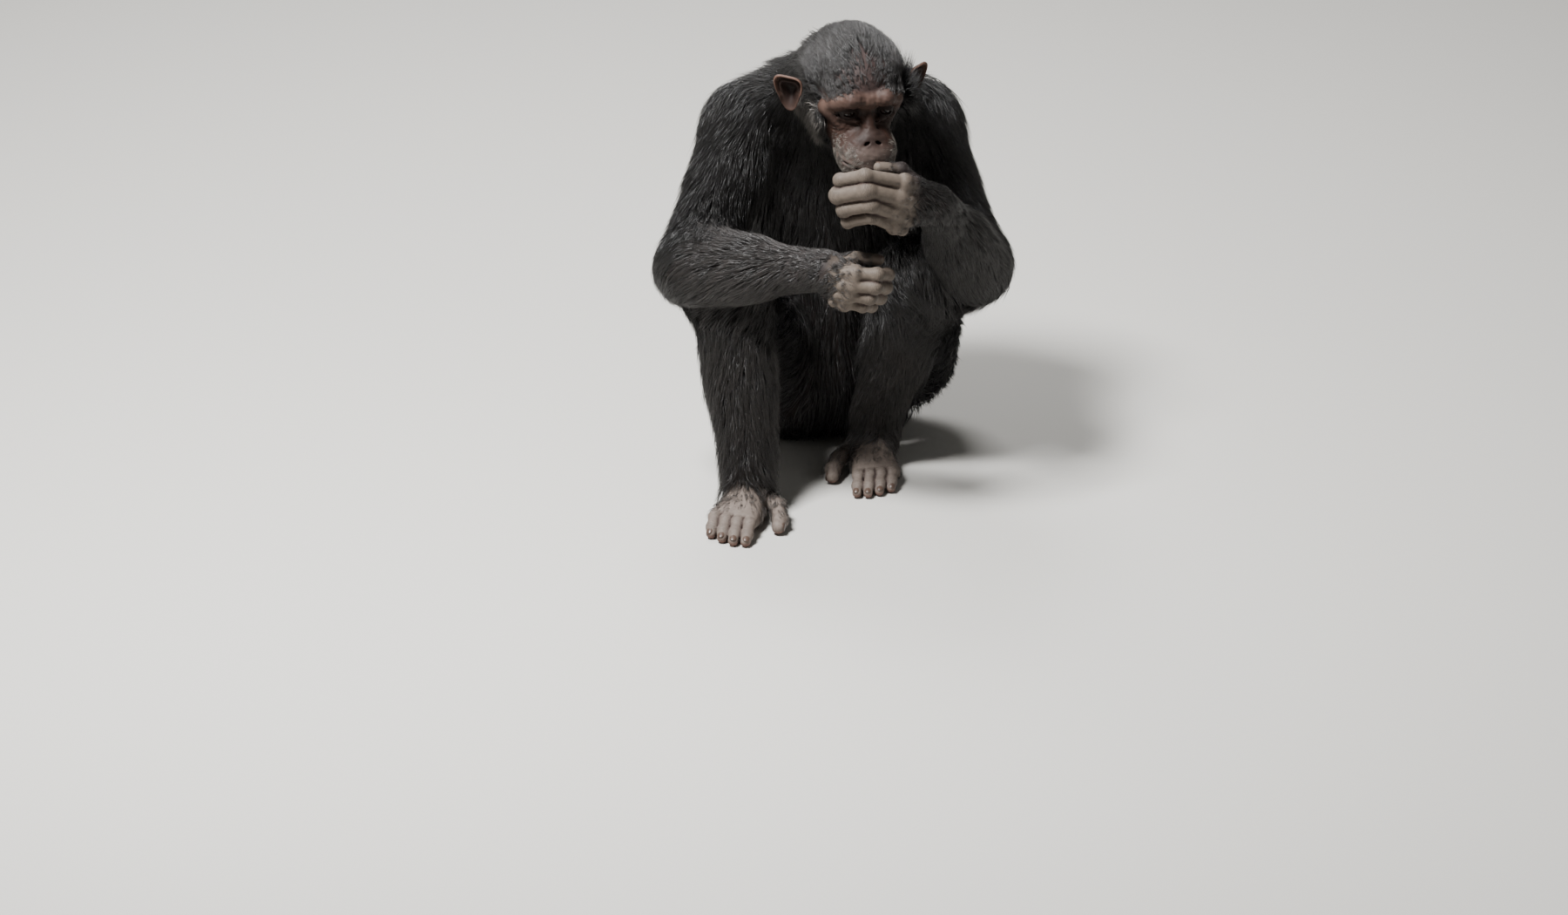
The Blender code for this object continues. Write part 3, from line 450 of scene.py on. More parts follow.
@dataclass
class Leg:
    """Thigh, shin, foot and toes of one side."""

    side: Side
    toe_lengths: tuple[float, ...] = (0.060, 0.064, 0.058, 0.048)
    toe_step: float = 1.93
    big_toe_radius: float = 0.0128
    big_toe: tuple[tuple[float, float, float], ...] = (
        (0.012, 0.028, 0.027), (0.050, 0.054, 0.025), (0.084, 0.064, 0.017), (0.101, 0.064, 0.0125),
    )

    @property
    def toe_radius(self) -> float:
        """Half thickness of the four small toes, which the left foot holds closer together."""
        return {Side.RIGHT: 0.0098, Side.LEFT: 0.0088}[self.side]

    def half_thickness(self, toe: str) -> float:
        """Half thickness of the toe with that name."""
        return self.big_toe_radius if toe == "big_toe" else self.toe_radius

    @property
    def joints(self) -> Limb:
        """Hip, knee and ankle."""
        return LEGS[self.side]

    @property
    def heading(self) -> Array:
        """The way the foot points."""
        return unit(vec(FOOT_HEADING[self.side]))

    @property
    def inner(self) -> Array:
        """The way from the foot's middle to its big toe's side."""
        return np.cross(self.heading, (0, 0, 1)) * self.side.value

    def on_foot(self, ahead: float, inward: float, up: float) -> Array:
        """A point ahead of the ankle, towards the big toe's side, and above the floor."""
        return vec(self.joints.end) * (1, 1, 0) + self.heading * ahead + self.inner * inward + vec(0, 0, up)

    def toes(self) -> dict[str, list[Array]]:
        """The run of each toe, from the ball of the foot to its tip on the floor."""
        paths = {}
        for k, length in enumerate(self.toe_lengths):
            across, ball = 0.022 - k * self.toe_radius * self.toe_step, 0.098 - 0.004 * k
            paths[f"toe_{k + 2}"] = [
                self.on_foot(ball - 0.014, across * 0.9, 0.018),
                self.on_foot(ball + length * 0.42, across, 0.024),
                self.on_foot(ball + length * 0.78, across * 1.02, 0.015),
                self.on_foot(ball + length, across * 1.02, 0.0085),
            ]
        paths["big_toe"] = [self.on_foot(*spot) for spot in self.big_toe]
        return paths

    def thigh(self) -> Field:
        """The thigh, from the hip to the knee."""
        return rod(self.joints.root, self.joints.bend, 0.086, 0.052)

    def shin(self) -> Field:
        """The shin, from the knee to the ankle."""
        return rod(self.joints.bend, self.joints.end, 0.044, 0.034)

    def flesh(self) -> Field:
        """Thigh and shin, with knee and calf."""
        ends = _, knee, ankle = self.joints.root, self.joints.bend, self.joints.end
        calf = rod(mix(knee, ankle, 0.12), mix(knee, ankle, 0.60), 0.047, 0.040)
        masses = [self.thigh(), egg(knee, (0.050, 0.050, 0.052)), calf, self.shin()]
        return around_ends(melt(masses, 0.02), ends, 0.12)

    def foot(self) -> Field:
        """Heel, instep, sole, ball and toes, flat where they stand on the floor."""
        sides = np.column_stack([self.inner, self.heading, (0, 0, 1)])
        paths = self.toes()
        masses = [
            egg(self.on_foot(-0.024, 0, 0.028), (0.027, 0.036, 0.032), sides),
            rod(self.joints.end, self.on_foot(0.020, 0, 0.038), 0.031, 0.028),
            egg(self.on_foot(0.045, 0.003, 0.022), (0.032, 0.060, 0.026), sides),
            egg(self.on_foot(0.086, -0.004, 0.015), (0.037, 0.030, 0.017), sides),
        ]
        instep = self.on_foot(0.02, 0.006, 0.034)
        masses += [rod(instep, mix(run[0], run[1], 0.6), 0.020, 0.0115) for run in paths.values()]
        digits = [digit(run, self.half_thickness(name), 1.02, 0.85) for name, run in paths.items()]
        foot = melt([melt(masses, 0.012), *digits], 0.0020)
        tips = [run[-1] for run in paths.values()]
        return around_ends(foot, [*tips, self.on_foot(-0.06, 0, 0), self.joints.end], 0.06)


def digits_of(side: Side) -> list[tuple[str, Array, float]]:
    """Every finger, the thumb and every toe of a side: its name, its joints and its half thickness."""
    leg = Leg(side)
    found = [(name, vec(joints), FINGER_R[side][name]) for name, joints in FINGERS[side].items()]
    found.append(("thumb", vec(THUMBS[side]), THUMB_R))
    return found + [(name, vec(run), leg.half_thickness(name)) for name, run in leg.toes().items()]


ALL_DIGITS = [entry for side in Side for entry in digits_of(side)]


@dataclass
class Head:
    """Skull, cheeks, muzzle, brow, nose, lips and lids, all in the head's own axes."""

    brow: tuple[tuple[float, float, float], ...] = (
        (0, -0.072, 0.021), (0.027, -0.075, 0.026), (0.046, -0.061, 0.014), (0.055, -0.042, -0.004),
    )
    brow_radii: tuple[float, ...] = (0.0105, 0.0120, 0.0110, 0.0080)
    cheek_bone: tuple[tuple[float, float, float], ...] = ((0.032, -0.064, -0.024), (0.056, -0.034, -0.010))
    nostril: tuple[float, float, float] = (0.0090, -0.1110, -0.0325)
    mouth_height: float = -0.0700
    lip: float = 0.0016
    parting: float = 0.0026

    def masses(self) -> list[Field]:
        """Skull, cheeks, muzzle and jaw, as half sizes round places given in the head's own axes."""
        places = (
            ((0, 0.012, 0.022), (0.066, 0.080, 0.058)),
            ((0, -0.040, -0.010), (0.052, 0.034, 0.040)),
            ((0, -0.020, -0.045), (0.054, 0.050, 0.042)),
            ((0, -0.078, -0.054), (0.044, 0.043, 0.030)),
            ((0, -0.098, -0.058), (0.039, 0.029, 0.022)),
            ((0, -0.066, -0.082), (0.040, 0.053, 0.025)),
            ((0, -0.096, -0.083), (0.031, 0.025, 0.017)),
        )
        return [egg(on_head(place), radii, HEAD_TURN) for place, radii in places]

    def mouth_line(self, local: Array) -> Array:
        """Height above the parting of the lips, which climbs towards its corners."""
        return local[:, 2] - (self.mouth_height + 2.5 * local[:, 0] ** 2)

    def skin_relief(self, points: Array) -> Array:
        """Lips, and the creases of brow, eyes, cheeks and upper lip, as heights above the flesh.

        Args:
            points: (n, 3) places in the frame.

        Returns:
            A height for each point.
        """
        local = head_local(points)
        across, back, up = local.T
        front = ease(-back, 0.020, 0.045) * ease(-np.abs(across), -0.060, -0.048)
        line = self.mouth_line(local)
        lips = self.lip * (bell(line, 0.0042, 0.0030) + bell(line, -0.0045, 0.0034))
        lips = (lips - self.parting * bell(line, 0, 0.0014)) * ease(-back, 0.074, 0.090)
        folds = np.zeros(len(points))
        for sign in (-1, 1):
            reach = np.hypot(across - sign * EYE[0], (up - EYE[2]) * 1.25)
            below = ease(-(up - 0.35 * (sign * across - EYE[0])), -0.002, 0.008)
            folds += 0.00055 * np.cos(reach * FULL_TURN / 0.0044) * bell(reach, 0.020, 0.008) * below
            side = bell(sign * across, 0.040, 0.013) * bell(up, -0.035, 0.022)
            slant = sign * across * 0.8 + up * 0.6
            folds += 0.0004 * np.cos(slant * FULL_TURN / 0.0052) * side
        lip_zone = bell(line, 0.016, 0.011) * ease(-back, 0.075, 0.095)
        folds += 0.00025 * np.cos(across * FULL_TURN / 0.0043 + 2 * np.sin(up * 300)) * lip_zone
        brow_zone = bell(up, 0.024, 0.013) * ease(-back, 0.035, 0.055)
        folds += 0.0007 * rough(local, 0.0055, 3) * brow_zone + 0.0003 * rough(local, 0.004, 4)
        return (lips + folds) * front

    def flesh(self) -> Field:
        """The bare head with its brow, cheek bones, nose, lids, nostrils and mouth."""
        ridges, sockets, cuts, lids = [], [], [], []
        for sign in (-1, 1):
            flip = vec(sign, 1, 1)
            brow = [on_head(vec(place) * flip) for place in self.brow]
            spans = zip(brow[:-1], brow[1:], self.brow_radii[:-1], self.brow_radii[1:])
            ridges += [rod(*span) for span in spans]
            ridges += [
                rod(*(on_head(place * flip) for place in self.cheek_bone), 0.010, 0.012),
                egg(on_head(sign * 0.0150, -0.0985, -0.0345), (0.0095, 0.0095, 0.0080), HEAD_TURN),
            ]
            sockets.append(egg(on_head(sign * 0.0285, -0.0860, 0.0050), (0.0165, 0.0130, 0.0095), HEAD_TURN))
            eye = on_head(EYE * flip)
            lids.append(egg(eye, vec(1.06, 1.0, 0.98) * (EYE_R + 0.0026), HEAD_TURN))
            below = on_head(sign * 0.016, -0.0775, -0.0125), on_head(sign * 0.043, -0.0665, -0.0110)
            lids.append(rod(*below, 0.0045, 0.004))
            slit = on_head(sign * EYE[0], EYE[1] - EYE_R - 0.0025, EYE[2] - 0.0005)
            cuts.append(egg(slit, (0.0112, 0.0095, 0.0040), HEAD_TURN @ turn(0, 0, sign * 6)))
            slot = HEAD_TURN @ turn(0, -20, sign * 28)
            cuts.append(egg(on_head(vec(self.nostril) * flip), (0.0055, 0.0070, 0.0025), slot))
        ridges.append(rod(on_head(0, -0.069, 0.006), on_head(0, -0.092, -0.022), 0.0085, 0.0100))
        ridges.append(egg(on_head(0, -0.1005, -0.0305), (0.0135, 0.0100, 0.0085), HEAD_TURN))
        forehead = egg(on_head(0, -0.022, 0.034), (0.050, 0.046, 0.036), HEAD_TURN)
        bare = melt([melt([*self.masses(), forehead], 0.022), *ridges], 0.010)
        bare = melt([carve(bare, sockets, 0.006), *lids], 0.003)

        def face(points: Array) -> Array:
            """Distance to the bare head raised by its relief."""
            return bare(points) - self.skin_relief(points)

        whole = carve(face, cuts, 0.0012)
        return within(whole, HEAD_CENTRE - 0.20, HEAD_CENTRE + 0.20)


# Surfaces


@dataclass
class Volume:
    """Distances kept on a grid of points, with their surface and their values in between."""

    mass: Field
    low: Array
    high: Array
    cell: float
    coarse: int = 4
    nearness: float = 0.8
    values: Array = field(init=False)

    def __post_init__(self) -> None:
        """Works out the distances, roughly at first and closely near the surface."""
        rough_cell = self.cell * self.coarse
        counts = np.ceil((vec(self.high) - vec(self.low)) / rough_cell).astype(int) * self.coarse + 1
        wide = self.lattice(counts // self.coarse + 1, rough_cell)
        rough_values = self.mass(wide.reshape(-1, 3)).reshape(wide.shape[:3])
        points = self.lattice(counts, self.cell).reshape(-1, 3)
        values = self.between(rough_values, points, rough_cell)
        close = np.abs(values) < rough_cell * self.nearness + 0.001
        values[close] = self.mass(points[close])
        self.values = values.reshape(counts)

    def lattice(self, counts: Array, cell: float) -> Array:
        """The grid's points."""
        axes = [self.low[k] + cell * np.arange(counts[k]) for k in range(3)]
        return np.stack(np.meshgrid(*axes, indexing="ij"), axis=-1)

    def between(self, values: Array, points: Array, cell: float) -> Array:
        """Trilinear values at points: the eight corners of a cell, weighted by nearness.

        Args:
            values: values on the grid.
            points: (n, 3) places in the frame.
            cell: size of a cell.

        Returns:
            A value for each point.
        """
        place = (points - self.low) / cell
        corner = np.clip(np.floor(place).astype(int), 0, np.array(values.shape) - 2)
        share = np.clip(place - corner, 0, 1)
        total = np.zeros(len(points))
        for offset in np.ndindex(2, 2, 2):
            weight = np.prod(np.where(offset, share, 1 - share), axis=1)
            total += weight * values[tuple((corner + offset).T)]
        return total

    def sample(self, points: Array) -> Array:
        """Distance to the surface at points."""
        return self.between(self.values, points, self.cell)

    def slope(self, points: Array) -> Array:
        """The way straight out of the surface at points."""
        return slope_of(self.sample, points, self.cell * 0.7)

    def surface(self) -> tuple[Array, Array]:
        """Wraps the surface in squares: one point in each cell that it crosses, at the mean of its crossings.

        Returns:
            Points and four-sided faces, turned outwards.
        """
        values, inside = self.values, self.values < 0
        shape = np.array(values.shape) - 1
        count = sum(
            inside[i : i + shape[0], j : j + shape[1], k : k + shape[2]].astype(np.int8)
            for i, j, k in np.ndindex(2, 2, 2)
        )
        cells = np.argwhere((count > 0) & (count < 8))
        total, hits = np.zeros((len(cells), 3)), np.zeros(len(cells))
        for axis in range(3):
            step = np.eye(3, dtype=int)[axis]
            for corner in np.ndindex(2, 2, 2):
                if corner[axis]:
                    continue
                start = cells + corner
                a, b = values[tuple(start.T)], values[tuple((start + step).T)]
                crossed = (a < 0) != (b < 0)
                share = np.where(crossed, a / np.where(crossed, a - b, 1), 0)
                total += np.where(crossed[:, None], start + step * share[:, None], 0)
                hits += crossed
        points = self.low + self.cell * total / hits[:, None]
        number = np.full(tuple(shape), -1)
        number[tuple(cells.T)] = np.arange(len(cells))
        faces = []
        for axis in range(3):
            step = np.eye(3, dtype=int)[axis]
            first, second = np.eye(3, dtype=int)[(axis + 1) % 3], np.eye(3, dtype=int)[(axis + 2) % 3]
            here = inside[tuple(slice(0, size - delta) for size, delta in zip(values.shape, step))]
            there = inside[tuple(slice(delta, None) for delta in step)]
            edges = np.argwhere(here != there)
            edges = edges[((edges - first - second) >= 0).all(1) & (edges < shape).all(1)]
            moves = (first + second, second, 0 * first, first)
            quad = np.stack([number[tuple((edges - move).T)] for move in moves], axis=1)
            outward = here[tuple(edges.T)]
            faces.append(np.where(outward[:, None], quad, quad[:, ::-1]))
        faces = np.concatenate(faces)
        return points, faces[(faces >= 0).all(axis=1)]


def grid_faces(rings: int, sides: int) -> Array:
    """Four-sided faces between neighbouring rings, each of which closes on itself."""
    ring, side = np.meshgrid(np.arange(rings - 1) * sides, np.arange(sides), indexing="ij")
    after = (side + 1) % sides
    corners = (ring + side, ring + after, ring + sides + after, ring + sides + side)
    return np.stack(corners, axis=-1).reshape(-1, 4)


def settle(points: Array, mass: Field, rounds: int = 1, most: float = 0.004) -> Array:
    """Slides points straight in or out, by no more than most a round, until they lie on a mass's surface.

    Args:
        points: (n, 3) places in the frame.
        mass: distance function.
        rounds: how often they slide.
        most: the longest slide.

    Returns:
        The points moved.
    """
    for _ in range(rounds):
        step = np.clip(mass(points), -most, most)
        points = points - slope_of(mass, points) * step[:, None]
    return points


def new_piece(name: str, points: Array, faces: Array, material: bpy.types.Material) -> bpy.types.Object:
    """A smooth mesh object that rides on the body.

    Args:
        name: the piece's name.
        points: (n, 3) places in the frame.
        faces: (m, 3) or (m, 4) numbers of points.
        material: its finish.

    Returns:
        The object.
    """
    mesh = bpy.data.meshes.new(name)
    sides = faces.shape[1]
    mesh.vertices.add(len(points))
    mesh.vertices.foreach_set("co", points.astype(np.float32).ravel())
    mesh.loops.add(faces.size)
    mesh.loops.foreach_set("vertex_index", faces.astype(np.int32).ravel())
    mesh.polygons.add(len(faces))
    mesh.polygons.foreach_set("loop_start", np.arange(0, faces.size, sides, dtype=np.int32))
    mesh.update(calc_edges=True)
    mesh.validate()
    mesh.shade_smooth()
    mesh.materials.append(material)
    piece = bpy.data.objects.new(name, mesh)
    bpy.context.scene.collection.objects.link(piece)
    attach(piece, BODY)
    LOG.info("%s: %d points, %d faces", name, len(points), len(faces))
    return piece


def paint(piece: bpy.types.Object, colours: Array) -> None:
    """Stores a linear colour for each point in the attribute Tint.

    Args:
        piece: the mesh object.
        colours: (n, 3) linear colours.
    """
    tint = piece.data.attributes.new("Tint", "FLOAT_COLOR", "POINT")
    full = np.concatenate([colours, np.ones((len(colours), 1))], axis=1)
    tint.data.foreach_set("color", full.astype(np.float32).ravel())


# Finishes


def linear(code: str) -> Array:
    """A colour given as sRGB hex, turned to linear light."""
    share = vec([int(code[k : k + 2], 16) / 255 for k in (1, 3, 5)])
    return np.where(share <= 0.04045, share / 12.92, ((share + 0.055) / 1.055) ** 2.4)


def add_node(
    tree: bpy.types.NodeTree, kind: str, options: dict | None = None, values: dict | None = None,
    links: dict | None = None,
) -> bpy.types.Node:
    """Adds a shader node.

    Args:
        tree: the material's nodes.
        kind: the node's type.
        options: its own settings.
        values: numbers and colours for its input sockets.
        links: output sockets that feed its input sockets.

    Returns:
        The node.
    """
    node = tree.nodes.new(kind)
    for name, value in (options or {}).items():
        setattr(node, name, value)
    for name, value in (values or {}).items():
        node.inputs[name].default_value = value
    for name, socket in (links or {}).items():
        tree.links.new(socket, node.inputs[name])
    return node


def math_node(
    tree: bpy.types.NodeTree, operation: str, *inputs: bpy.types.NodeSocket | float
) -> bpy.types.NodeSocket:
    """The output of a math node fed with sockets or plain numbers, in order.

    Args:
        tree: the material's nodes.
        operation: what the node works out.
        inputs: its sockets' sources or values.

    Returns:
        The output socket.
    """
    node = add_node(tree, "ShaderNodeMath", {"operation": operation})
    for socket, value in zip(node.inputs, inputs):
        if isinstance(value, bpy.types.NodeSocket):
            tree.links.new(value, socket)
        else:
            socket.default_value = value
    return node.outputs["Value"]


def bump_node(
    tree: bpy.types.NodeTree, strength: float, depth: float, height: bpy.types.NodeSocket,
    below: bpy.types.NodeSocket | None = None,
) -> bpy.types.NodeSocket:
    """The normal of a bump, raised, or pressed into the bump below where it has one.

    Args:
        tree: the material's nodes.
        strength: its share of the whole effect.
        depth: its depth in metres.
        height: its height, from 0 to 1.
        below: the normal of the bump that it lies on.

    Returns:
        The normal.
    """
    links = {"Height": height}
    if below is not None:
        links["Normal"] = below
    values = {"Strength": strength, "Distance": depth}
    return add_node(tree, "ShaderNodeBump", {"invert": below is not None}, values, links).outputs["Normal"]


@dataclass(frozen=True)
class Finish:
    """What all finishes share: a principled shader with the tint that is painted on each piece."""

    name: str
    roughness: float
    ior: float

    def start(self) -> tuple[bpy.types.Material, bpy.types.Node, bpy.types.NodeSocket]:
        """The plain material.

        Returns:
            The material, its shader, and the tint that colours it.
        """
        made = bpy.data.materials.new(self.name)
        made.use_nodes = True
        shader = made.node_tree.nodes["Principled BSDF"]
        tint = add_node(made.node_tree, "ShaderNodeAttribute", {"attribute_name": "Tint"}).outputs["Color"]
        made.node_tree.links.new(tint, shader.inputs["Base Color"])
        shader.inputs["Roughness"].default_value = self.roughness
        shader.inputs["IOR"].default_value = self.ior
        return made, shader, tint

    @staticmethod
    def noise(tree: bpy.types.NodeTree, scale: float, detail: float = 2.0) -> bpy.types.NodeSocket:
        """Soft noise over the piece's own places, with scale lumps to the metre."""
        place = add_node(tree, "ShaderNodeTexCoord").outputs["Object"]
        values = {"Scale": scale, "Detail": detail}
        return add_node(tree, "ShaderNodeTexNoise", None, values, {"Vector": place}).outputs["Fac"]

    def material(self) -> bpy.types.Material:
        """The material, with nothing but its tint."""
        return self.start()[0]


@dataclass(frozen=True)
class Hair(Finish):
    """Black guard hair, a keratin.

    To the eye each tuft stays nearly black, and a soft grey gloss runs along the side that the light
    strikes, so that the locks part from one another.
    """

    name: str = "black guard hair"
    roughness: float = 0.46
    ior: float = 1.55
    sheen: float = 0.05
    sheen_tint: str = "#A8A6A4"

    def material(self) -> bpy.types.Material:
        """The hair's material, coloured by each tuft's own tint."""
        made, shader, _ = self.start()
        shader.inputs["Sheen Weight"].default_value = self.sheen
        shader.inputs["Sheen Tint"].default_value = (*linear(self.sheen_tint), 1)
        return made


@dataclass(frozen=True)
class Hide(Finish):
    """Leathery bare skin.

    To the eye it is dull, finely creased in small cells and mottled, with painted shade in the folds
    over the joints. Only the ridges catch a faint light. mottle is the span of its lighter and darker
    spots, cell the size of a crease's cell, fold_gap the way from fold to fold, fold_sway how far noise
    moves them.
    """

    name: str = "leathery bare skin"
    roughness: float = 0.60
    ior: float = 1.40
    gloss: float = 0.30
    mottle: tuple[float, float] = (0.62, 1.38)
    cell: float = 0.0022
    crease: float = 0.35
    crease_depth: float = 0.0006
    fold_gap: float = 0.0027
    fold_sway: float = 0.0060
    # how much painted shade darkens the colour in the folds
    fold_painted_shade: float = 0.4
    fold_depth: float = 0.0004

    def folds(self, tree: bpy.types.NodeTree) -> bpy.types.NodeSocket:
        """Depth of the folds over the joints, from the attribute Fold.

        Its x is the way along the digit and its y the folds' strength. A cosine of x, swayed by noise, is
        brought to the span from 0 to 1, sharpened by its third power and multiplied by y.
        """
        fold = add_node(tree, "ShaderNodeAttribute", {"attribute_name": "Fold"}).outputs["Vector"]
        parts = add_node(tree, "ShaderNodeSeparateXYZ", None, None, {"Vector": fold}).outputs
        sway = math_node(tree, "MULTIPLY_ADD", self.noise(tree, 260.0), self.fold_sway, parts["X"])
        wave = math_node(tree, "COSINE", math_node(tree, "MULTIPLY", sway, FULL_TURN / self.fold_gap))
        ridge = math_node(tree, "POWER", math_node(tree, "MULTIPLY_ADD", wave, 0.5, 0.5), 3.0)
        return math_node(tree, "MULTIPLY", ridge, parts["Y"])

    def material(self) -> bpy.types.Material:
        """The skin's material: mottled tint, painted shade in the folds, and a bump of creased cells and
        folds.
        """
        made, shader, tint = self.start()
        tree = made.node_tree
        folds = self.folds(tree)
        low, high = self.mottle
        mottle = math_node(tree, "MULTIPLY_ADD", self.noise(tree, 130.0, 4.0), high - low, low)
        # painted shade: the tint is darkened in the folds over the joints
        darker = math_node(tree, "MULTIPLY_ADD", folds, -self.fold_painted_shade, 1.0)
        links = {"Vector": tint, "Scale": math_node(tree, "MULTIPLY", mottle, darker)}
        colour = add_node(tree, "ShaderNodeVectorMath", {"operation": "SCALE"}, None, links)
        place = add_node(tree, "ShaderNodeTexCoord").outputs["Object"]
        edges = {"feature": "DISTANCE_TO_EDGE"}
        cells = add_node(tree, "ShaderNodeTexVoronoi", edges, {"Scale": 1 / self.cell}, {"Vector": place})
        height = math_node(tree, "ADD", cells.outputs["Distance"], self.noise(tree, 900.0, 3.0))
        creases = bump_node(tree, self.crease, self.crease_depth, height)
        relief = bump_node(tree, 0.6, self.fold_depth, folds, creases)
        tree.links.new(colour.outputs["Vector"], shader.inputs["Base Color"])
        tree.links.new(relief, shader.inputs["Normal"])
        shader.inputs["Specular IOR Level"].default_value = self.gloss
        return made


@dataclass(frozen=True)
class Horn(Finish):
    """Dark nail horn, a hard keratin.

    To the eye it is smooth and half glossy, with a soft light along the bend of each nail.
    """

    name: str = "dark nail horn"
    roughness: float = 0.34
    ior: float = 1.54
    ridge_depth: float = 0.0002

    def material(self) -> bpy.types.Material:
        """The nails' material, with faint growth ridges."""
        made, shader, _ = self.start()
        tree = made.node_tree
        ridges = bump_node(tree, 0.2, self.ridge_depth, self.noise(tree, 700.0))
        tree.links.new(ridges, shader.inputs["Normal"])
        return made


@dataclass(frozen=True)
class Wet(Finish):
    """The eye's wet surface, a clear film over a dark brown ball.

    To the eye it is the one mirror-like spot of the face, with a small sharp light in it.
    """

    name: str = "wet dark eye"
    roughness: float = 0.16
    ior: float = 1.376


# The skin


@dataclass
class Skin:
    """One skin over every mass of flesh, drawn finely over face, hands and feet.

    low and high are the box that the masses are worked out in, the cells are the sizes of its squares,
    rim is how far a fine part's box goes past its outline, and overlap how far the fine part itself goes
    under the coarse one, in coarse cells.
    """

    trunk: Trunk
    head: Head
    arms: list[Arm]
    legs: list[Leg]
    low: tuple[float, float, float] = (-0.30, -0.53, -0.03)
    high: tuple[float, float, float] = (0.32, 0.19, 0.78)
    coarse_cell: float = 0.0072
    face_cell: float = 0.0016
    digit_cell: float = 0.0023
    foot_share: float = 1.15
    face_centre: tuple[float, float, float] = (0, -0.075, -0.028)
    face_radii: tuple[float, float, float] = (0.070, 0.065, 0.088)
    hand_margin: float = 0.040
    foot_margin: tuple[float, float, float] = (0.075, 0.030, 0.035)
    rim: float = 0.012
    overlap: float = 1.2
    limb_blend: float = 0.012
    end_blend: float = 0.010
    floor_gap: float = 0.0006
    whole: Field = field(init=False)
    volume: Volume = field(init=False)

    def __post_init__(self) -> None:
        """Joins the masses, level with the floor where they rest on it."""
        limbs = [part.flesh() for part in (*self.arms, *self.legs)]
        body = melt([self.trunk.flesh(), *limbs], self.limb_blend)
        ends = [arm.hand() for arm in self.arms] + [leg.foot() for leg in self.legs]
        joined = melt([body, *ends, self.head.flesh()], self.end_blend)

        def whole(points: Array) -> Array:
            """Distance to all the masses, cut level where they would reach the floor."""
            return np.maximum(joined(points), self.floor_gap - points[:, 2])

        self.whole = whole
        self.volume = Volume(whole, vec(self.low), vec(self.high), self.coarse_cell)

    def regions(self) -> list[tuple[Field, Array, Array, float]]:
        """Where the skin is drawn finely: each place's own outline, its box and its grid."""
        found = [(egg(on_head(self.face_centre), self.face_radii, HEAD_TURN), self.face_cell)]
        for arm in self.arms:
            joints = vec([joints[k] for joints in FINGERS[arm.side].values() for k in (0, 2)])
            low, high = joints.min(0), joints.max(0)
            found.append((egg((low + high) / 2, (high - low) / 2 + self.hand_margin), self.digit_cell))
        for leg in self.legs:
            reach = vec([leg.on_foot(0.05, 0, 0), leg.on_foot(0.17, 0, 0.03)])
            half = np.abs(reach[1] - reach[0]) / 2 + self.foot_margin
            found.append((egg(reach.mean(0), half), self.digit_cell * self.foot_share))
        made, volume = [], self.volume
        points = volume.lattice(np.array(volume.values.shape), volume.cell).reshape(-1, 3)
        for outline, cell in found:
            inside = points[outline(points) < self.rim]
            made.append((outline, inside.min(0), inside.max(0), cell))
        return made

    def sheets(self) -> list[tuple[Array, Array]]:
        """The masses wrapped coarsely, and finely in each region, settled on their surface.

        Returns:
            Points and four-sided faces of each part, where no part covers another.
        """
        regions = self.regions()
        points, faces = self.volume.surface()
        centres = points[faces].mean(axis=1)
        taken = np.min([outline(centres) for outline, *_ in regions], axis=0) < 0
        found = [(settle(points, self.whole), faces[~taken])]
        earlier = []
        for outline, low, high, cell in regions:
            points, faces = Volume(self.whole, low, high, cell).surface()
            centres = points[faces].mean(axis=1)
            kept = outline(centres) < self.coarse_cell * self.overlap
            for other in earlier:
                kept &= other(centres) > 0
            found.append((settle(points, self.whole), faces[kept]))
            earlier.append(outline)
        return found

    def build(self, material: bpy.types.Material) -> bpy.types.Object:
        """All the sheets as one mesh, with their colours and folds."""
        all_points, all_faces, start = [], [], 0
        for points, faces in self.sheets():
            used, numbers = np.unique(faces, return_inverse=True)
            all_points.append(points[used])
            all_faces.append(numbers.reshape(-1, 4) + start)
            start += len(used)
        points, faces = np.concatenate(all_points), np.concatenate(all_faces)
        piece = new_piece("skin", points, faces, material)
        paint(piece, Markings().skin(points))
        folds = piece.data.attributes.new("Fold", "FLOAT_VECTOR", "POINT")
        folds.data.foreach_set("vector", Folds().across(points).astype(np.float32).ravel())
        return piece


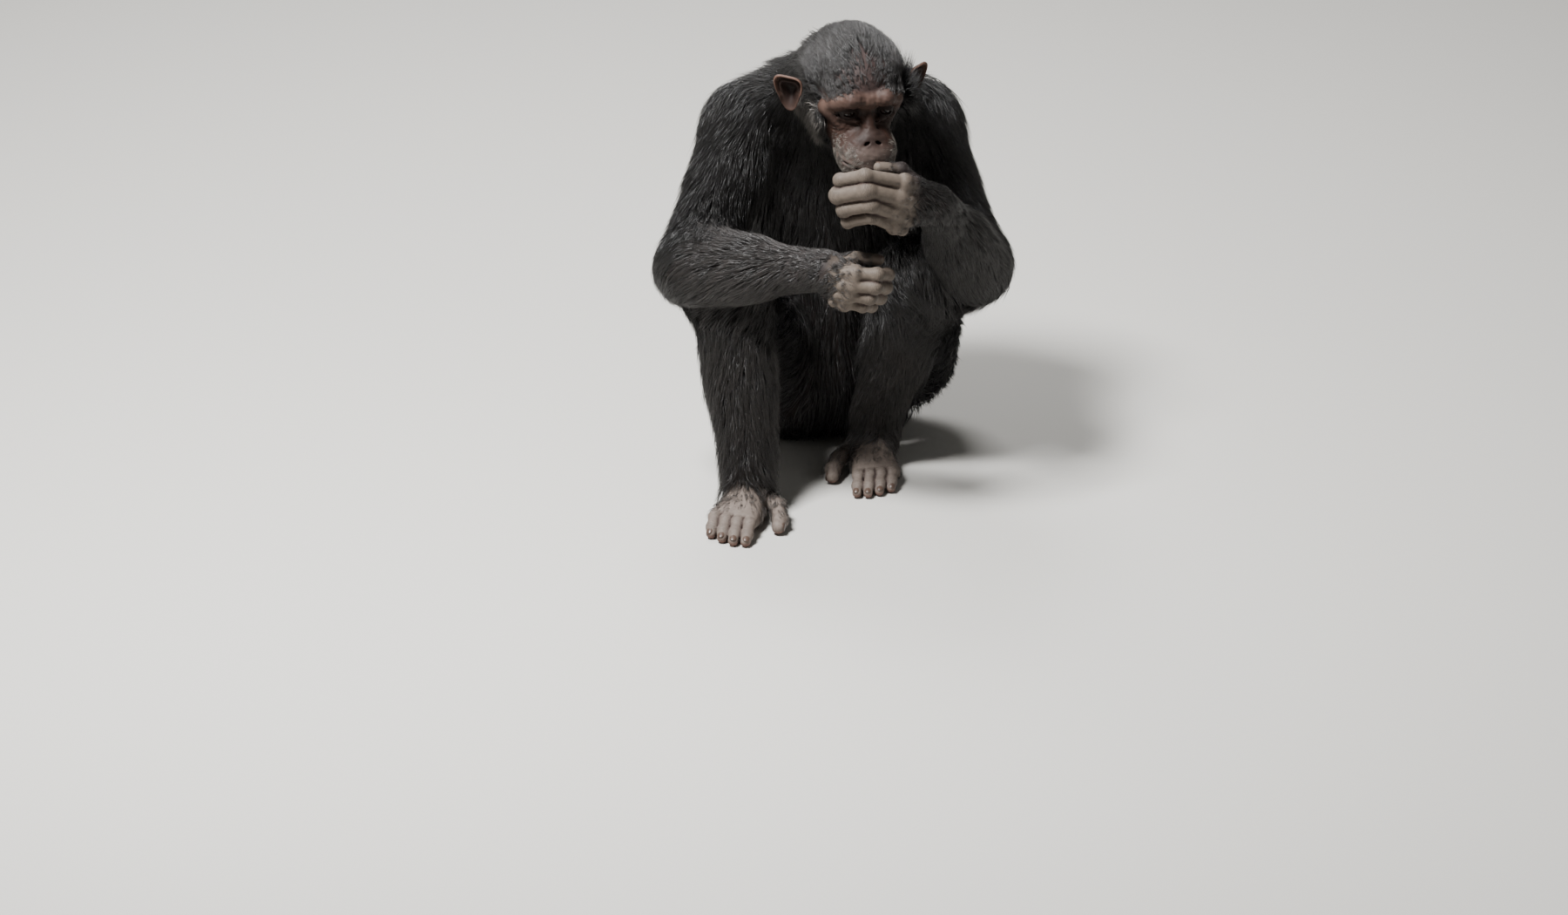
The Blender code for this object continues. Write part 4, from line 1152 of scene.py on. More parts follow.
@dataclass(frozen=True)
class Folds:
    """The folds across the back of each joint of the fingers and toes, as the skin's finish reads them."""

    spread: float = 0.0105
    margin: float = 0.03
    gap_width: float = 0.0036

    def across(self, points: Array) -> Array:
        """Each point's way along its digit from the nearest joint, and how strongly folds show there.

        Args:
            points: (n, 3) places in the frame.

        Returns:
            (n, 3) values: the way in metres, the strength from 0 to 1, and zero.
        """
        found = np.zeros((len(points), 3))
        for _, joints, radius in ALL_DIGITS:
            low, high = joints.min(0) - self.margin, joints.max(0) + self.margin
            near = np.flatnonzero(np.all((points > low) & (points < high), axis=1))
            for before, joint, after in zip(joints[:-2], joints[1:-1], joints[2:]):
                into, onward = unit(joint - before), unit(after - joint)
                along, outer = unit(into + onward), unit(into - onward + (0, -0.02, 0.06))
                offset = points[near] - joint
                place = offset @ along
                reach = np.linalg.norm(offset - np.outer(place, along), axis=1)
                share = bell(place, 0, self.spread) * ease(offset @ outer / radius, -0.2, 0.5)
                share *= ease(-reach, -1.6 * radius, -1.25 * radius)
                better = share > found[near, 1]
                found[near[better], 0], found[near[better], 1] = place[better], share[better]
        return found

    def between(self, points: Array) -> Array:
        """Painted shade between two fingers or toes that touch: 1 deep between them, fading over their sides.

        Args:
            points: (n, 3) places in the frame.

        Returns:
            A share for each point.
        """
        gaps = np.full((2, len(points)), 1.0)
        for _, joints, radius in ALL_DIGITS:
            rods = [rod(mix(joints[0], joints[1], 0.45), joints[1], radius, radius)]
            rods += [rod(a, b, radius * 0.92, radius * 0.84) for a, b in zip(joints[1:-1], joints[2:])]
            gap = melt(rods, 0.004)(points)
            gaps = np.sort(np.concatenate([gaps, gap[None]]), axis=0)[:2]
        return bell(gaps[1] - gaps[0], 0, self.gap_width) * ease(-gaps[1], -0.0060, -0.0020)


@dataclass
class Markings:
    """The bare skin's colours by place, with painted shade round the eyes, at the lip parting and between
    digits.
    """

    body: str = "#241E1D"
    face: str = "#2A1B15"
    forehead: str = "#302523"
    # painted shade round each eye, in its socket under the brow
    socket: str = "#140C0A"
    brow: str = "#483730"
    nose: str = "#281D19"
    muzzle: str = "#4A3F3A"
    # dark inner edges of the lips, with painted shade along their parting
    lip: str = "#2C1E1C"
    hand: str = "#574E46"
    # painted shade between fingers and toes that touch
    crease: str = "#24120F"
    foot: str = "#695F58"
    sole: str = "#5E4037"
    ear: str = "#2B1E19"
    # pinkish skin of the rim, with painted light on its upper part
    ear_rim: str = "#5E463C"
    # painted shade in the ear's cup
    ear_cup: str = "#170E0C"

    def skin(self, points: Array) -> Array:
        """Skin colours: each place's own colour or painted shade, faded in by its distance.

        Args:
            points: (n, 3) places in the frame.

        Returns:
            (n, 3) linear colours.
        """
        local = head_local(points)
        across, back, up = local.T
        colours = np.tile(linear(self.body), (len(points), 1))

        def lay(code: str, share: Array) -> None:
            """Lays a colour over the ones below."""
            nonlocal colours
            colours = fade(colours, linear(code), share[:, None])

        front = ease(-egg((0, 0, 0), (0.10, 0.15, 0.13))(local), -0.02, 0.01) * ease(-back, 0.010, 0.040)
        lay(self.face, front)
        above = ease(up, 0.022, 0.045) * ease(-back, -0.01, 0.04)
        lay(self.forehead, above * ease(-np.abs(across), -0.060, -0.035))
        arc = [rod(a, b, 0.012, 0.011) for a, b in zip(Head.brow[:-1], Head.brow[1:])]
        for side in Side:
            lay(self.brow, ease(-melt(arc, 0.004)(local * (side.value, 1, 1)), -0.006, 0.002) * front)
        # painted shade: the skin round each eye darkened in its socket
        for side in Side:
            eye = np.linalg.norm((local - EYE * (side.value, 1, 1)) * (0.8, 1, 1.25), axis=1)
            lay(self.socket, 0.85 * ease(-eye, -0.021, -0.012) * front)
        lay(self.muzzle, ease(-egg((0, -0.100, -0.066), (0.052, 0.050, 0.034))(local), -0.006, 0.008) * front)
        lay(self.nose, ease(-egg((0, -0.098, -0.028), (0.024, 0.024, 0.014))(local), -0.004, 0.004) * front)
        line = Head().mouth_line(local)
        # the lips' darker inner edges, with painted shade along the parting between them
        lay(self.lip, 0.7 * bell(line, 0, 0.0022) * ease(-back, 0.074, 0.090) * front)
        for side in Side:
            knuckles = vec([joints[1] for joints in FINGERS[side].values()])
            near = np.min(np.linalg.norm(points[:, None] - knuckles[None], axis=2), axis=1)
            lay(self.hand, ease(-near, -0.085, -0.060))
            leg = Leg(side)
            ahead = (points - leg.on_foot(0, 0, 0)) @ leg.heading
            close = leg.foot()(points) < 0.010
            lay(self.foot, ease(ahead, 0.02, 0.07) * close * (points[:, 2] < 0.09))
            lay(self.sole, 0.8 * close * ease(-points[:, 2], -0.012, -0.004))
        # painted shade: darker in the gaps between fingers and toes that touch
        lay(self.crease, 0.9 * Folds().between(points))
        return colours


# The coat


def everywhere(points: Array) -> Array:
    """A share of one at every point."""
    return np.ones(len(points))


@dataclass(frozen=True)
class Patch:
    """A stretch of coat that lies one way.

    near gives the distance to the flesh below it, lie the way of the hair, unwrap the place of a root on
    the flesh spread flat, from 0 to 1 both ways, keep the share of roots that grow, and scale how long
    the hair is there against the patch's own length. rise is how far the tips stand off the skin, hold
    how firmly a tuft is drawn down to its rise, clump how far the tips of a lock come together, and
    scatter the chance in their directions. A fine patch is small, with a sharp border and a lie of its own.
    """

    name: str
    near: Field
    lie: Field
    unwrap: Field
    count: int
    length: float
    rise: float
    width: float = 0.0015
    hold: float = 0.8
    clump: float = 0.58
    scatter: float = 0.13
    keep: Field = everywhere
    scale: Field = everywhere
    tone: str = "#0B0A09"
    tip: str = "#151312"
    sections: int = 2
    fine: bool = False


def around(start: Array, end: Array) -> Field:
    """Unwraps a limb or the trunk: the turn round its axis one way, and the way along it the other.

    Args:
        start: one end of its axis.
        end: the other end.

    Returns:
        A function from places to (n, 2) spots on the map.
    """
    start, end = vec(start), vec(end)
    along = unit(end - start)
    first = unit(np.cross(along, (0.3, 0.5, 0.8)))
    second = np.cross(along, first)
    span = np.linalg.norm(end - start)

    def unwrap(points: Array) -> Array:
        """The turn, and the way along, each brought inside the span from 0 to 1."""
        offset = points - start
        angle = np.arctan2(offset @ second, offset @ first) / FULL_TURN + 0.5
        way = np.clip((offset @ along) / span * 0.8 + 0.1, 0, 1)
        return np.stack([0.02 + 0.96 * angle, 0.05 + 0.9 * way], axis=1)

    return unwrap


def steady(way: Array) -> Field:
    """The same lie at every root."""
    return lambda points: np.tile(vec(way), (len(points), 1))


@dataclass
class Coat:
    """Solid tufts over the skin: thin, tapered, three-sided blades that overlap along the lie.

    sink is how deep a root stands in the skin, patch_size a blade's share of the map, eddy the strength
    of the swirls in the lie, merge how softly one patch's lie goes into the next, border how far their
    roots mingle, stray the share of tufts that stand off, back the height of a blade's ridge against its
    width, locks the sizes of the lighter and darker locks, and reach the box that no tuft leaves.
    lengths, rises, widths and shades are spans of chance, and girth is the width along a blade.
    """

    skin: Skin
    material: bpy.types.Material
    sink: float = 0.003
    patch_size: float = 0.003
    clump_size: float = 0.016
    clump_warp: float = 0.35
    clump_waves: float = 260.0
    eddy: float = 0.22
    eddy_size: float = 0.045
    merge: float = 0.012
    border: float = 0.009
    stray: float = 0.05
    stray_rise: float = 1.3
    lengths: tuple[float, float] = (0.60, 1.2)
    rises: tuple[float, float] = (0.45, 1.15)
    widths: tuple[float, float] = (0.6, 1.3)
    girth: tuple[tuple[float, ...], ...] = ((0, 0.3, 1), (0.75, 1.0, 0.35))
    roll: float = 0.5
    back: float = 0.35
    shades: tuple[float, float] = (0.7, 1.3)
    locks: tuple[float, float] = (0.010, 0.028)
    reach: tuple[tuple[float, ...], ...] = ((-0.279, -0.510, 0.0025), (0.302, 0.165, 0.750))
    rng: np.random.Generator = field(default_factory=lambda: np.random.default_rng(11))
    broad: list[Patch] = field(init=False, default_factory=list)

    def patches(self) -> list[Patch]:
        """Every stretch of the coat, from head to foot."""
        trunk, waist = self.skin.trunk.flesh(), 0.335
        neck = within(self.skin.trunk.neck(), (-0.12, -0.25, 0.55), (0.18, 0.12, 0.72))

        def trunk_lie(points: Array) -> Array:
            """Down the trunk, and outwards over the shoulders."""
            return ways(points[:, 0] * 1.5, 0.0, -1.0)

        def mantle(points: Array) -> Array:
            """Longer over the shoulders and the nape."""
            return 1 + 0.35 * ease(points[:, 2], 0.48, 0.56)

        made = self.head_patches() + [
            Patch("neck", neck, steady((0, 0.8, -1.0)), around((0.01, -0.02, 0.52), (0.04, -0.14, 0.66)),
                  8000, 0.070, 0.021, scale=mantle),
            Patch("chest", lambda p: trunk(p) + AWAY * (p[:, 2] <= waist), trunk_lie,
                  around((0, 0, 0.33), (0, 0, 0.60)), 10500, 0.075, 0.018, scale=mantle),
            Patch("belly", lambda p: trunk(p) + AWAY * (p[:, 2] > waist), steady((0, 0, -1)),
                  around((0, 0, 0.02), (0, 0, 0.34)), 5500, 0.064, 0.018),
        ]
        for arm in self.skin.arms:
            made += self.arm_patches(arm)
        for leg in self.skin.legs:
            made += self.leg_patches(leg)
        return made

    def head_patches(self) -> list[Patch]:
        """Scalp and cheeks, with the grey stubble of muzzle and chin."""
        skull = self.skin.head.flesh()
        spread = around(on_head(0, 0.09, -0.02), on_head(0, -0.10, -0.02))

        def scalp_lie(points: Array) -> Array:
            """Back over the crown, and back and down past the temples."""
            local = head_local(points)
            crown = ease(local[:, 2], 0.0, 0.045)[:, None]
            before = (ease(-local[:, 1], -0.010, 0.040) * ease(local[:, 2], -0.010, 0.020))[:, None]
            side = np.sign(local[:, 0])[:, None]
            temple = side * vec(0.30, 0, 0) + vec(0, 0.85, -0.50)
            forehead = side * vec(0.45, 0, 0) + vec(0, 0.6, 0.9)
            behind = fade(temple, vec(0, 1.0, -0.25), crown)
            return fade(behind, forehead, before) @ HEAD_TURN.T

        def scalp(points: Array) -> Array:
            """Hair all over the head but for the bare face, thin over the forehead."""
            across, back, up = head_local(points).T
            oval = np.hypot(across / 0.074, (up + 0.038) / 0.076)
            edge = 0.034 - 0.026 * bell(up, 0.010, 0.018)
            bare = ease(-back - edge, -0.004, 0.010) * ease(-oval, -1.16, -0.97)
            thin = 0.74 * ease(-np.abs(across), -0.050, -0.014) * ease(-back, 0.002, 0.046)
            return (1 - bare) * (1 - thin)

        def scalp_scale(points: Array) -> Array:
            """Short above the brow, longer towards the back and over the ears."""
            across, back, _ = head_local(points).T
            return 0.34 + 0.66 * ease(back, -0.060, 0.005) + 0.35 * ease(np.abs(across), 0.045, 0.062)

        def ruff(points: Array) -> Array:
            """1 on the cheeks and jaw, below and before the ears."""
            across, back, up = head_local(points).T
            return 1.0 * ((np.abs(across) > 0.030) & (up < -0.004) & (back < 0.045) & (back > -0.075))

        def fringe(points: Array) -> Array:
            """1 along the back edge of the cheeks, whose grey hair, lit by painted light, stands off the
            neck.
            """
            return 1.0 * (head_local(points)[:, 1] > 0.012)

        def ruff_lie(points: Array) -> Array:
            """Down and outwards from the cheeks, and in again below the jaw."""
            across, _, up = head_local(points).T
            out = np.sign(across) * (0.55 + 6.0 * np.minimum(up + 0.03, 0))
            return ways(out, 0.35, -1.0) @ HEAD_TURN.T

        def muzzle(points: Array) -> Array:
            """1 on the sides of the muzzle and on the chin, fading to the nose and the middle of the lip."""
            across, back, up = head_local(points).T
            side = ease(np.abs(across), 0.008, 0.034) * ease(-up, 0.028, 0.050)
            chin = ease(-up, 0.074, 0.084)
            return np.maximum(side, chin) * ease(-back, 0.055, 0.075)

        def muzzle_lie(points: Array) -> Array:
            """Down and back along the lip."""
            return ways(np.sign(head_local(points)[:, 0]) * 0.5, 0.5, -0.7) @ HEAD_TURN.T

        def furred(points: Array) -> Array:
            """Distance to the skull where the ruff grows."""
            return skull(points) + AWAY * (1 - ruff(points))

        def bristled(points: Array) -> Array:
            """Distance to the skull where the muzzle has stubble, which goes before all else there."""
            return skull(points) + np.where(muzzle(points) > 0.02, -0.004, AWAY)

        tuft = egg(on_head(0.060, -0.020, -0.018), (0.014, 0.016, 0.028), HEAD_TURN)
        return [
            Patch("head", lambda p: skull(p) + AWAY * ruff(p), scalp_lie, spread, 18500, 0.050, 0.015,
                  0.0009, keep=scalp, scale=scalp_scale, scatter=0.16, tip="#201D1C"),
            Patch("cheeks", lambda p: furred(p) + 0.02 * fringe(p), ruff_lie, spread, 7000, 0.052, 0.018,
                  0.0010, 0.5, 0.5, keep=scalp, tip="#2A2725"),
            # the fringe's pale tips: grey hair, lightened further by painted light along the cheeks' outline
            Patch("fringe", lambda p: furred(p) + 0.02 * (1 - fringe(p)), ruff_lie, spread, 2600, 0.056,
                  0.027, 0.0009, 0.4, 0.4, keep=scalp, tone="#2A2624", tip="#6E6964"),
            Patch("stubble", bristled, muzzle_lie, spread, 9000, 0.0085, 0.0020, 0.0003, 0.5, 0.25, 0.28,
                  keep=muzzle, tone="#4A4540", tip="#8C867E", fine=True),
            Patch("temple_left", tuft, steady(HEAD_TURN @ vec(1.0, 0.45, -0.10)), spread, 1800, 0.060, 0.040,
                  0.0010, 0.1, 0.4, fine=True),
        ]

    @staticmethod
    def arm_patches(arm: Arm) -> list[Patch]:
        """Upper arm, down to the elbow, and forearm, back towards the elbow."""
        shoulder, elbow, wrist = (vec(joint) for joint in (arm.joints.root, arm.joints.bend, arm.joints.end))
        knuckles = np.mean([joints[0] for joints in FINGERS[arm.side].values()], axis=0)
        hand = arm.hand()
        reach = {Side.RIGHT: 0.70, Side.LEFT: 0.62}[arm.side]
        label = arm.side.label
        # the lighter grey tips on the right forearm and hand are painted light, the left's dark tips painted
        # shade
        grey = {Side.RIGHT: "#332E2C", Side.LEFT: "#1C1918"}[arm.side]
        upper, lower, to_knuckles = unit(elbow - shoulder), unit(elbow - wrist), unit(knuckles - wrist)

        def back(points: Array) -> Array:
            """Share of the way from the wrist to the knuckles."""
            return (points - wrist) @ to_knuckles / np.linalg.norm(knuckles - wrist)

        def sleeve(points: Array) -> Array:
            """Full to the wrist, thinning over the back of the hand."""
            share = back(points)
            return (1 - ease(share, reach - 0.25, reach + 0.25)) * (1 + 1.5 * ease(share, -0.6, -0.1))

        def down(points: Array) -> Array:
            """Short down over the back of the hand, gone before the fingers."""
            return ease(back(points), -0.1, 0.3) * (1 - ease(back(points), 0.75, 1.15))

        def shorter(points: Array) -> Array:
            """Full length by the elbow, under half at the wrist."""
            share = (points - elbow) @ (wrist - elbow) / ((wrist - elbow) @ (wrist - elbow))
            return 1 - 0.6 * ease(share, 0.55, 1.05)

        def longer(points: Array) -> Array:
            """Longer towards the shoulder."""
            return 1 + 0.3 * ease(points[:, 2], 0.46, 0.54)

        def bare_hand(points: Array) -> Array:
            """Distance to the hand, kept back from the wrist."""
            return hand(points) + 0.02 - 0.02 * ease(back(points), 0.05, 0.2)

        return [
            Patch(f"upper_arm_{label}", melt(arm.upper(), 0.02), steady(upper + vec(0, 0, -0.35)),
                  around(shoulder, elbow), 11000, 0.078, 0.018, 0.0013, scale=longer),
            Patch(f"elbow_{label}", egg(elbow + vec(0, 0.014, -0.016), (0.036, 0.036, 0.036)),
                  steady(vec(0, 0.15, -1.0)), around(shoulder, elbow), 1800, 0.078, 0.020, 0.0014, 0.35, 0.6,
                  fine=True),
            Patch(f"forearm_{label}", melt([rod(elbow, wrist, 0.044, 0.027), hand], 0.01),
                  steady(lower + vec(0, 0, -0.55)), around(elbow, knuckles), 9500, 0.060, 0.014, 0.0012,
                  keep=sleeve, scale=shorter, tip=grey),
            Patch(f"hand_{label}", bare_hand, steady(to_knuckles), around(elbow, knuckles), 1500, 0.015,
                  0.0030, 0.0005, keep=down, tone="#2B2725", tip=grey, fine=True),
        ]

    @staticmethod
    def leg_patches(leg: Leg) -> list[Patch]:
        """Thigh, shin, and the instep down to the toes' roots."""
        hip, knee, ankle = (vec(joint) for joint in (leg.joints.root, leg.joints.bend, leg.joints.end))
        ball, heading, label = leg.on_foot(0.098, 0, 0.02), leg.heading, leg.side.label
        thigh_rise = {Side.RIGHT: 0.017, Side.LEFT: 0.026}[leg.side]
        shin_rise = {Side.RIGHT: 0.020, Side.LEFT: 0.013}[leg.side]
        thigh_way = unit(knee - hip) + vec(0, 0, -0.7)
        shin_way = unit(ankle - knee) + vec(leg.side.value * 0.10, 0.05, 0)

        def instep(points: Array) -> Array:
            """Full to the ankle, thinning towards the toes, and none on the sole."""
            ahead = (points - leg.on_foot(0, 0, 0)) @ heading
            return (1 - ease(ahead, 0.050, 0.105)) * ease(points[:, 2], 0.008, 0.022)

        def foot_lie(points: Array) -> Array:
            """Forward over the foot, and outwards to both edges."""
            offset = points - leg.on_foot(0, 0, 0)
            aside = offset - np.outer(offset @ heading, heading)
            return heading + 9.0 * aside * (1, 1, 0) + vec(0, 0, -0.3)

        return [
            Patch(f"thigh_{label}", leg.thigh(), steady(thigh_way), around(hip, knee), 9500, 0.072,
                  thigh_rise),
            # the shin's lighter tips are painted sheen
            Patch(f"shin_{label}", leg.shin(), steady(shin_way), around(knee, ball), 8000, 0.058, shin_rise,
                  0.0013, tip="#272321"),
            Patch(f"instep_{label}", leg.foot(), foot_lie, around(ankle, ball), 3200, 0.024, 0.0055, 0.0007,
                  keep=instep, tone="#1B1816", tip="#5A534E", fine=True),
        ]

    def grow(self) -> list[bpy.types.Object]:
        """Grows the coat patch by patch from roots spread evenly over the skin."""
        patches = self.patches()
        points, faces = self.skin.volume.surface()
        corners = points[faces]
        diagonals = corners[:, 2] - corners[:, 0], corners[:, 3] - corners[:, 1]
        area = np.linalg.norm(np.cross(*diagonals), axis=1) / 2
        centres = corners.mean(axis=1)
        blur = vec([[0.0 if patch.fine else self.border] for patch in patches])
        nears = vec([patch.near(centres) for patch in patches])
        owner = np.argmin(nears + self.rng.normal(0, 1, nears.shape) * blur, axis=0)
        self.broad = [patch for patch in patches if not patch.fine]
        made = []
        for number, patch in enumerate(patches):
            mine = owner == number
            chance = np.where(mine, area * patch.keep(centres), 0)
            if chance.sum() <= 0:
                continue
            picked = self.rng.choice(len(faces), patch.count, p=chance / chance.sum())
            u, v = self.rng.random((2, patch.count, 1))
            a, b, c, d = (corners[picked, k] for k in range(4))
            made.append(self.patch_piece(patch, fade(fade(a, b, u), fade(d, c, u), v)))
        return made

    def patch_piece(self, patch: Patch, roots: Array) -> bpy.types.Object:
        """One patch of tufts as one mesh.

        Args:
            patch: where and how it lies.
            roots: (n, 3) places of the tufts on the skin.

        Returns:
            The piece.
        """
        volume, rng, count = self.skin.volume, self.rng, len(roots)
        out = volume.slope(roots)
        if patch.fine:
            roots = settle(roots, self.skin.whole, 2)
        else:
            roots = roots - out * volume.sample(roots)[:, None]
        eddy = np.stack([rough(roots, self.eddy_size, 20 + k) for k in range(3)], axis=1)
        lie = unit(patch.lie(roots)) if patch.fine else self.flow(roots)
        way = unit(lie + self.eddy * eddy + rng.normal(0, patch.scatter, (count, 3)))
        way = unit(way - out * dot(way, out))
        long = patch.scale(roots)[:, None]
        length = patch.length * long * rng.uniform(*self.lengths, (count, 1))
        rise = patch.rise * np.minimum(long, 1.2) * rng.uniform(*self.rises, (count, 1))
        rise = rise * np.where(rng.random((count, 1)) < self.stray, self.stray_rise, 1)
        path, outs, place = [roots - out * self.sink], [out], roots
        for step in range(1, patch.sections + 1):
            share = step / patch.sections
            place = place + way * length / patch.sections
            out = volume.slope(place)
            lack = rise * share**0.8 - volume.sample(place)[:, None]
            place = place + out * np.where(lack > 0, lack, lack * patch.hold)
            place = np.clip(place, *self.reach)
            way = unit(way - out * dot(way, out) * patch.hold)
            path.append(place)
            outs.append(out)
        path, outs = np.stack(path, axis=1), np.stack(outs, axis=1)
        path = self.gather(path, roots, patch)
        return self.blades(patch, roots, path, outs)

    def flow(self, roots: Array) -> Array:
        """The lie at each root: every broad patch's own, weighted by how near the root is to it.

        Args:
            roots: (n, 3) places in the frame.

        Returns:
            (n, 3) directions.
        """
        nears = vec([patch.near(roots) for patch in self.broad])
        shares = np.exp((nears.min(axis=0) - nears) / self.merge)
        return unit(sum(share[:, None] * unit(patch.lie(roots)) for share, patch in zip(shares, self.broad)))

    def gather(self, path: Array, roots: Array, patch: Patch) -> Array:
        """Draws the tufts of each small neighbourhood together towards their tips.

        Args:
            path: (n, steps, 3) points along the tufts.
            roots: (n, 3) places of the tufts.
            patch: how it clumps.

        Returns:
            The points moved.
        """
        warp = self.clump_warp * self.clump_size * np.sin(roots[:, ::-1] * self.clump_waves)
        cells = np.floor((roots + warp) / self.clump_size).astype(int)
        _, group = np.unique(cells, axis=0, return_inverse=True)
        group = group.ravel()
        total = np.bincount(group)
        pulled = path.copy()
        for step in range(1, path.shape[1]):
            middle = np.stack([np.bincount(group, path[:, step, k]) / total for k in range(3)], axis=1)[group]
            share = patch.clump * (step / patch.sections) ** 1.4
            pulled[:, step] += (middle - path[:, step]) * share
        return pulled

    def blades(self, patch: Patch, roots: Array, path: Array, outs: Array) -> bpy.types.Object:
        """Makes a three-sided blade round each path, closed at the root and pointed at the tip.

        Args:
            patch: its widths and colours.
            roots: (n, 3) places of the tufts.
            path: (n, steps, 3) points along the tufts.
            outs: (n, steps, 3) ways out of the skin there.

        Returns:
            The piece.
        """
        count, steps = len(path), patch.sections
        along = unit(np.diff(path, axis=1))
        rolls = self.rng.normal(0, self.roll, (count, 1, 1))
        across = unit(np.cross(along, outs[:, :-1]))
        lift = np.cross(across, along)
        over, under = np.cos(rolls), np.sin(rolls)
        across, lift = across * over + lift * under, lift * over - across * under
        girth = np.interp(np.arange(steps) / steps, *self.girth)
        width = patch.width * self.rng.uniform(*self.widths, (count, 1, 1)) * girth[None, :, None]
        sides = -across * width / 2, across * width / 2, lift * width * self.back
        rings = np.stack([path[:, :-1] + side for side in sides], axis=2)
        points = np.concatenate([rings.reshape(count, -1, 3), path[:, -1:]], axis=1)
        faces, patch_uv = self.blade_faces(steps)
        per = points.shape[1]
        all_faces = (faces[None] + (np.arange(count) * per)[:, None, None]).reshape(-1, 3)
        piece = new_piece(f"coat_{patch.name}", points.reshape(-1, 3), all_faces, self.material)
        bake = piece.data.uv_layers.new(name="OFBake")
        spots = patch.unwrap(roots)[:, None, None, :] + patch_uv[None] * self.patch_size
        bake.data.foreach_set("uv", spots.astype(np.float32).ravel())
        small, large = (rough(roots, size, seed) for size, seed in zip(self.locks, (31, 37)))
        lock = np.maximum(1 + 0.55 * np.clip(small, -1, 1.4) + 0.3 * np.clip(large, -1, 1), 0.35)
        shade = self.rng.uniform(*self.shades, (count, 1, 1)) * lock[:, None, None]
        share = np.concatenate([np.repeat(np.arange(steps) / steps, 3), [1.0]])[None, :, None]
        paint(piece, (fade(linear(patch.tone), linear(patch.tip), share) * shade).reshape(-1, 3))
        return piece

    @staticmethod
    def blade_faces(sections: int) -> tuple[Array, Array]:
        """The triangles of one blade, and each corner's place in its patch of the map, from 0 to 1."""
        faces, corners = [], []
        for side in range(3):
            after = (side + 1) % 3
            left, right = side / 3, (side + 1) / 3
            for ring in range(sections - 1):
                a, b = 3 * ring + side, 3 * ring + after
                low, high = ring / sections, (ring + 1) / sections
                faces += [(a, b, b + 3), (a, b + 3, a + 3)]
                corners.append(((left, low), (right, low), (right, high)))
                corners.append(((left, low), (right, high), (left, high)))
            last, tip, low = 3 * (sections - 1), 3 * sections, (sections - 1) / sections
            faces.append((last + side, last + after, tip))
            corners.append(((left, low), (right, low), ((left + right) / 2, 1.0)))
        faces.append((2, 1, 0))
        corners.append(((0, 0), (0.3, 0), (0.15, 0.2)))
        return np.array(faces), np.array(corners, float)


# Eyes, nails and ears


@dataclass
class Ball:
    """A ball of rings round its own axis, open in a tiny ring at each pole."""

    centre: Array
    radius: float
    axes: Array
    rings: int = 24
    sides: int = 36

    def mesh(self) -> tuple[Array, Array]:
        """Points at polar angle and turn, and faces between the rings, which leave a tiny ring open at each
        pole.
        """
        polar = np.linspace(0.02, math.pi - 0.02, self.rings)[:, None]
        turns = np.linspace(0, FULL_TURN, self.sides, endpoint=False)[None]
        parts = np.sin(polar) * np.cos(turns), -np.cos(polar) + 0 * turns, np.sin(polar) * np.sin(turns)
        local = np.stack(parts, axis=-1).reshape(-1, 3)
        return self.centre + (local * self.radius) @ self.axes.T, grid_faces(self.rings, self.sides)


@dataclass
class Eyes:
    """The two eyes, dark all over as the species has them."""

    ball_tone: str = "#0B0706"
    iris_tone: str = "#1E0F08"
    pupil_tone: str = "#020202"
    iris: tuple[float, float] = (0.80, 0.84)
    pupil: tuple[float, float] = (0.955, 0.97)

    def build(self, material: bpy.types.Material) -> list[bpy.types.Object]:
        """Both eyes, with iris and pupil by the angle from the way they look."""
        made = []
        for side in Side:
            centre = on_head(EYE * (side.value, 1, 1))
            points, faces = Ball(centre, EYE_R, HEAD_TURN).mesh()
            eye = new_piece(f"eyeball_{side.label}", points, faces, material)
            ahead = (-(points - centre) @ HEAD_TURN[:, 1] / EYE_R)[:, None]
            colour = fade(linear(self.ball_tone), linear(self.iris_tone), ease(ahead, *self.iris))
            paint(eye, fade(colour, linear(self.pupil_tone), ease(ahead, *self.pupil)))
            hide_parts(f"eye_{side.label}")
            made.append(eye)
        return made


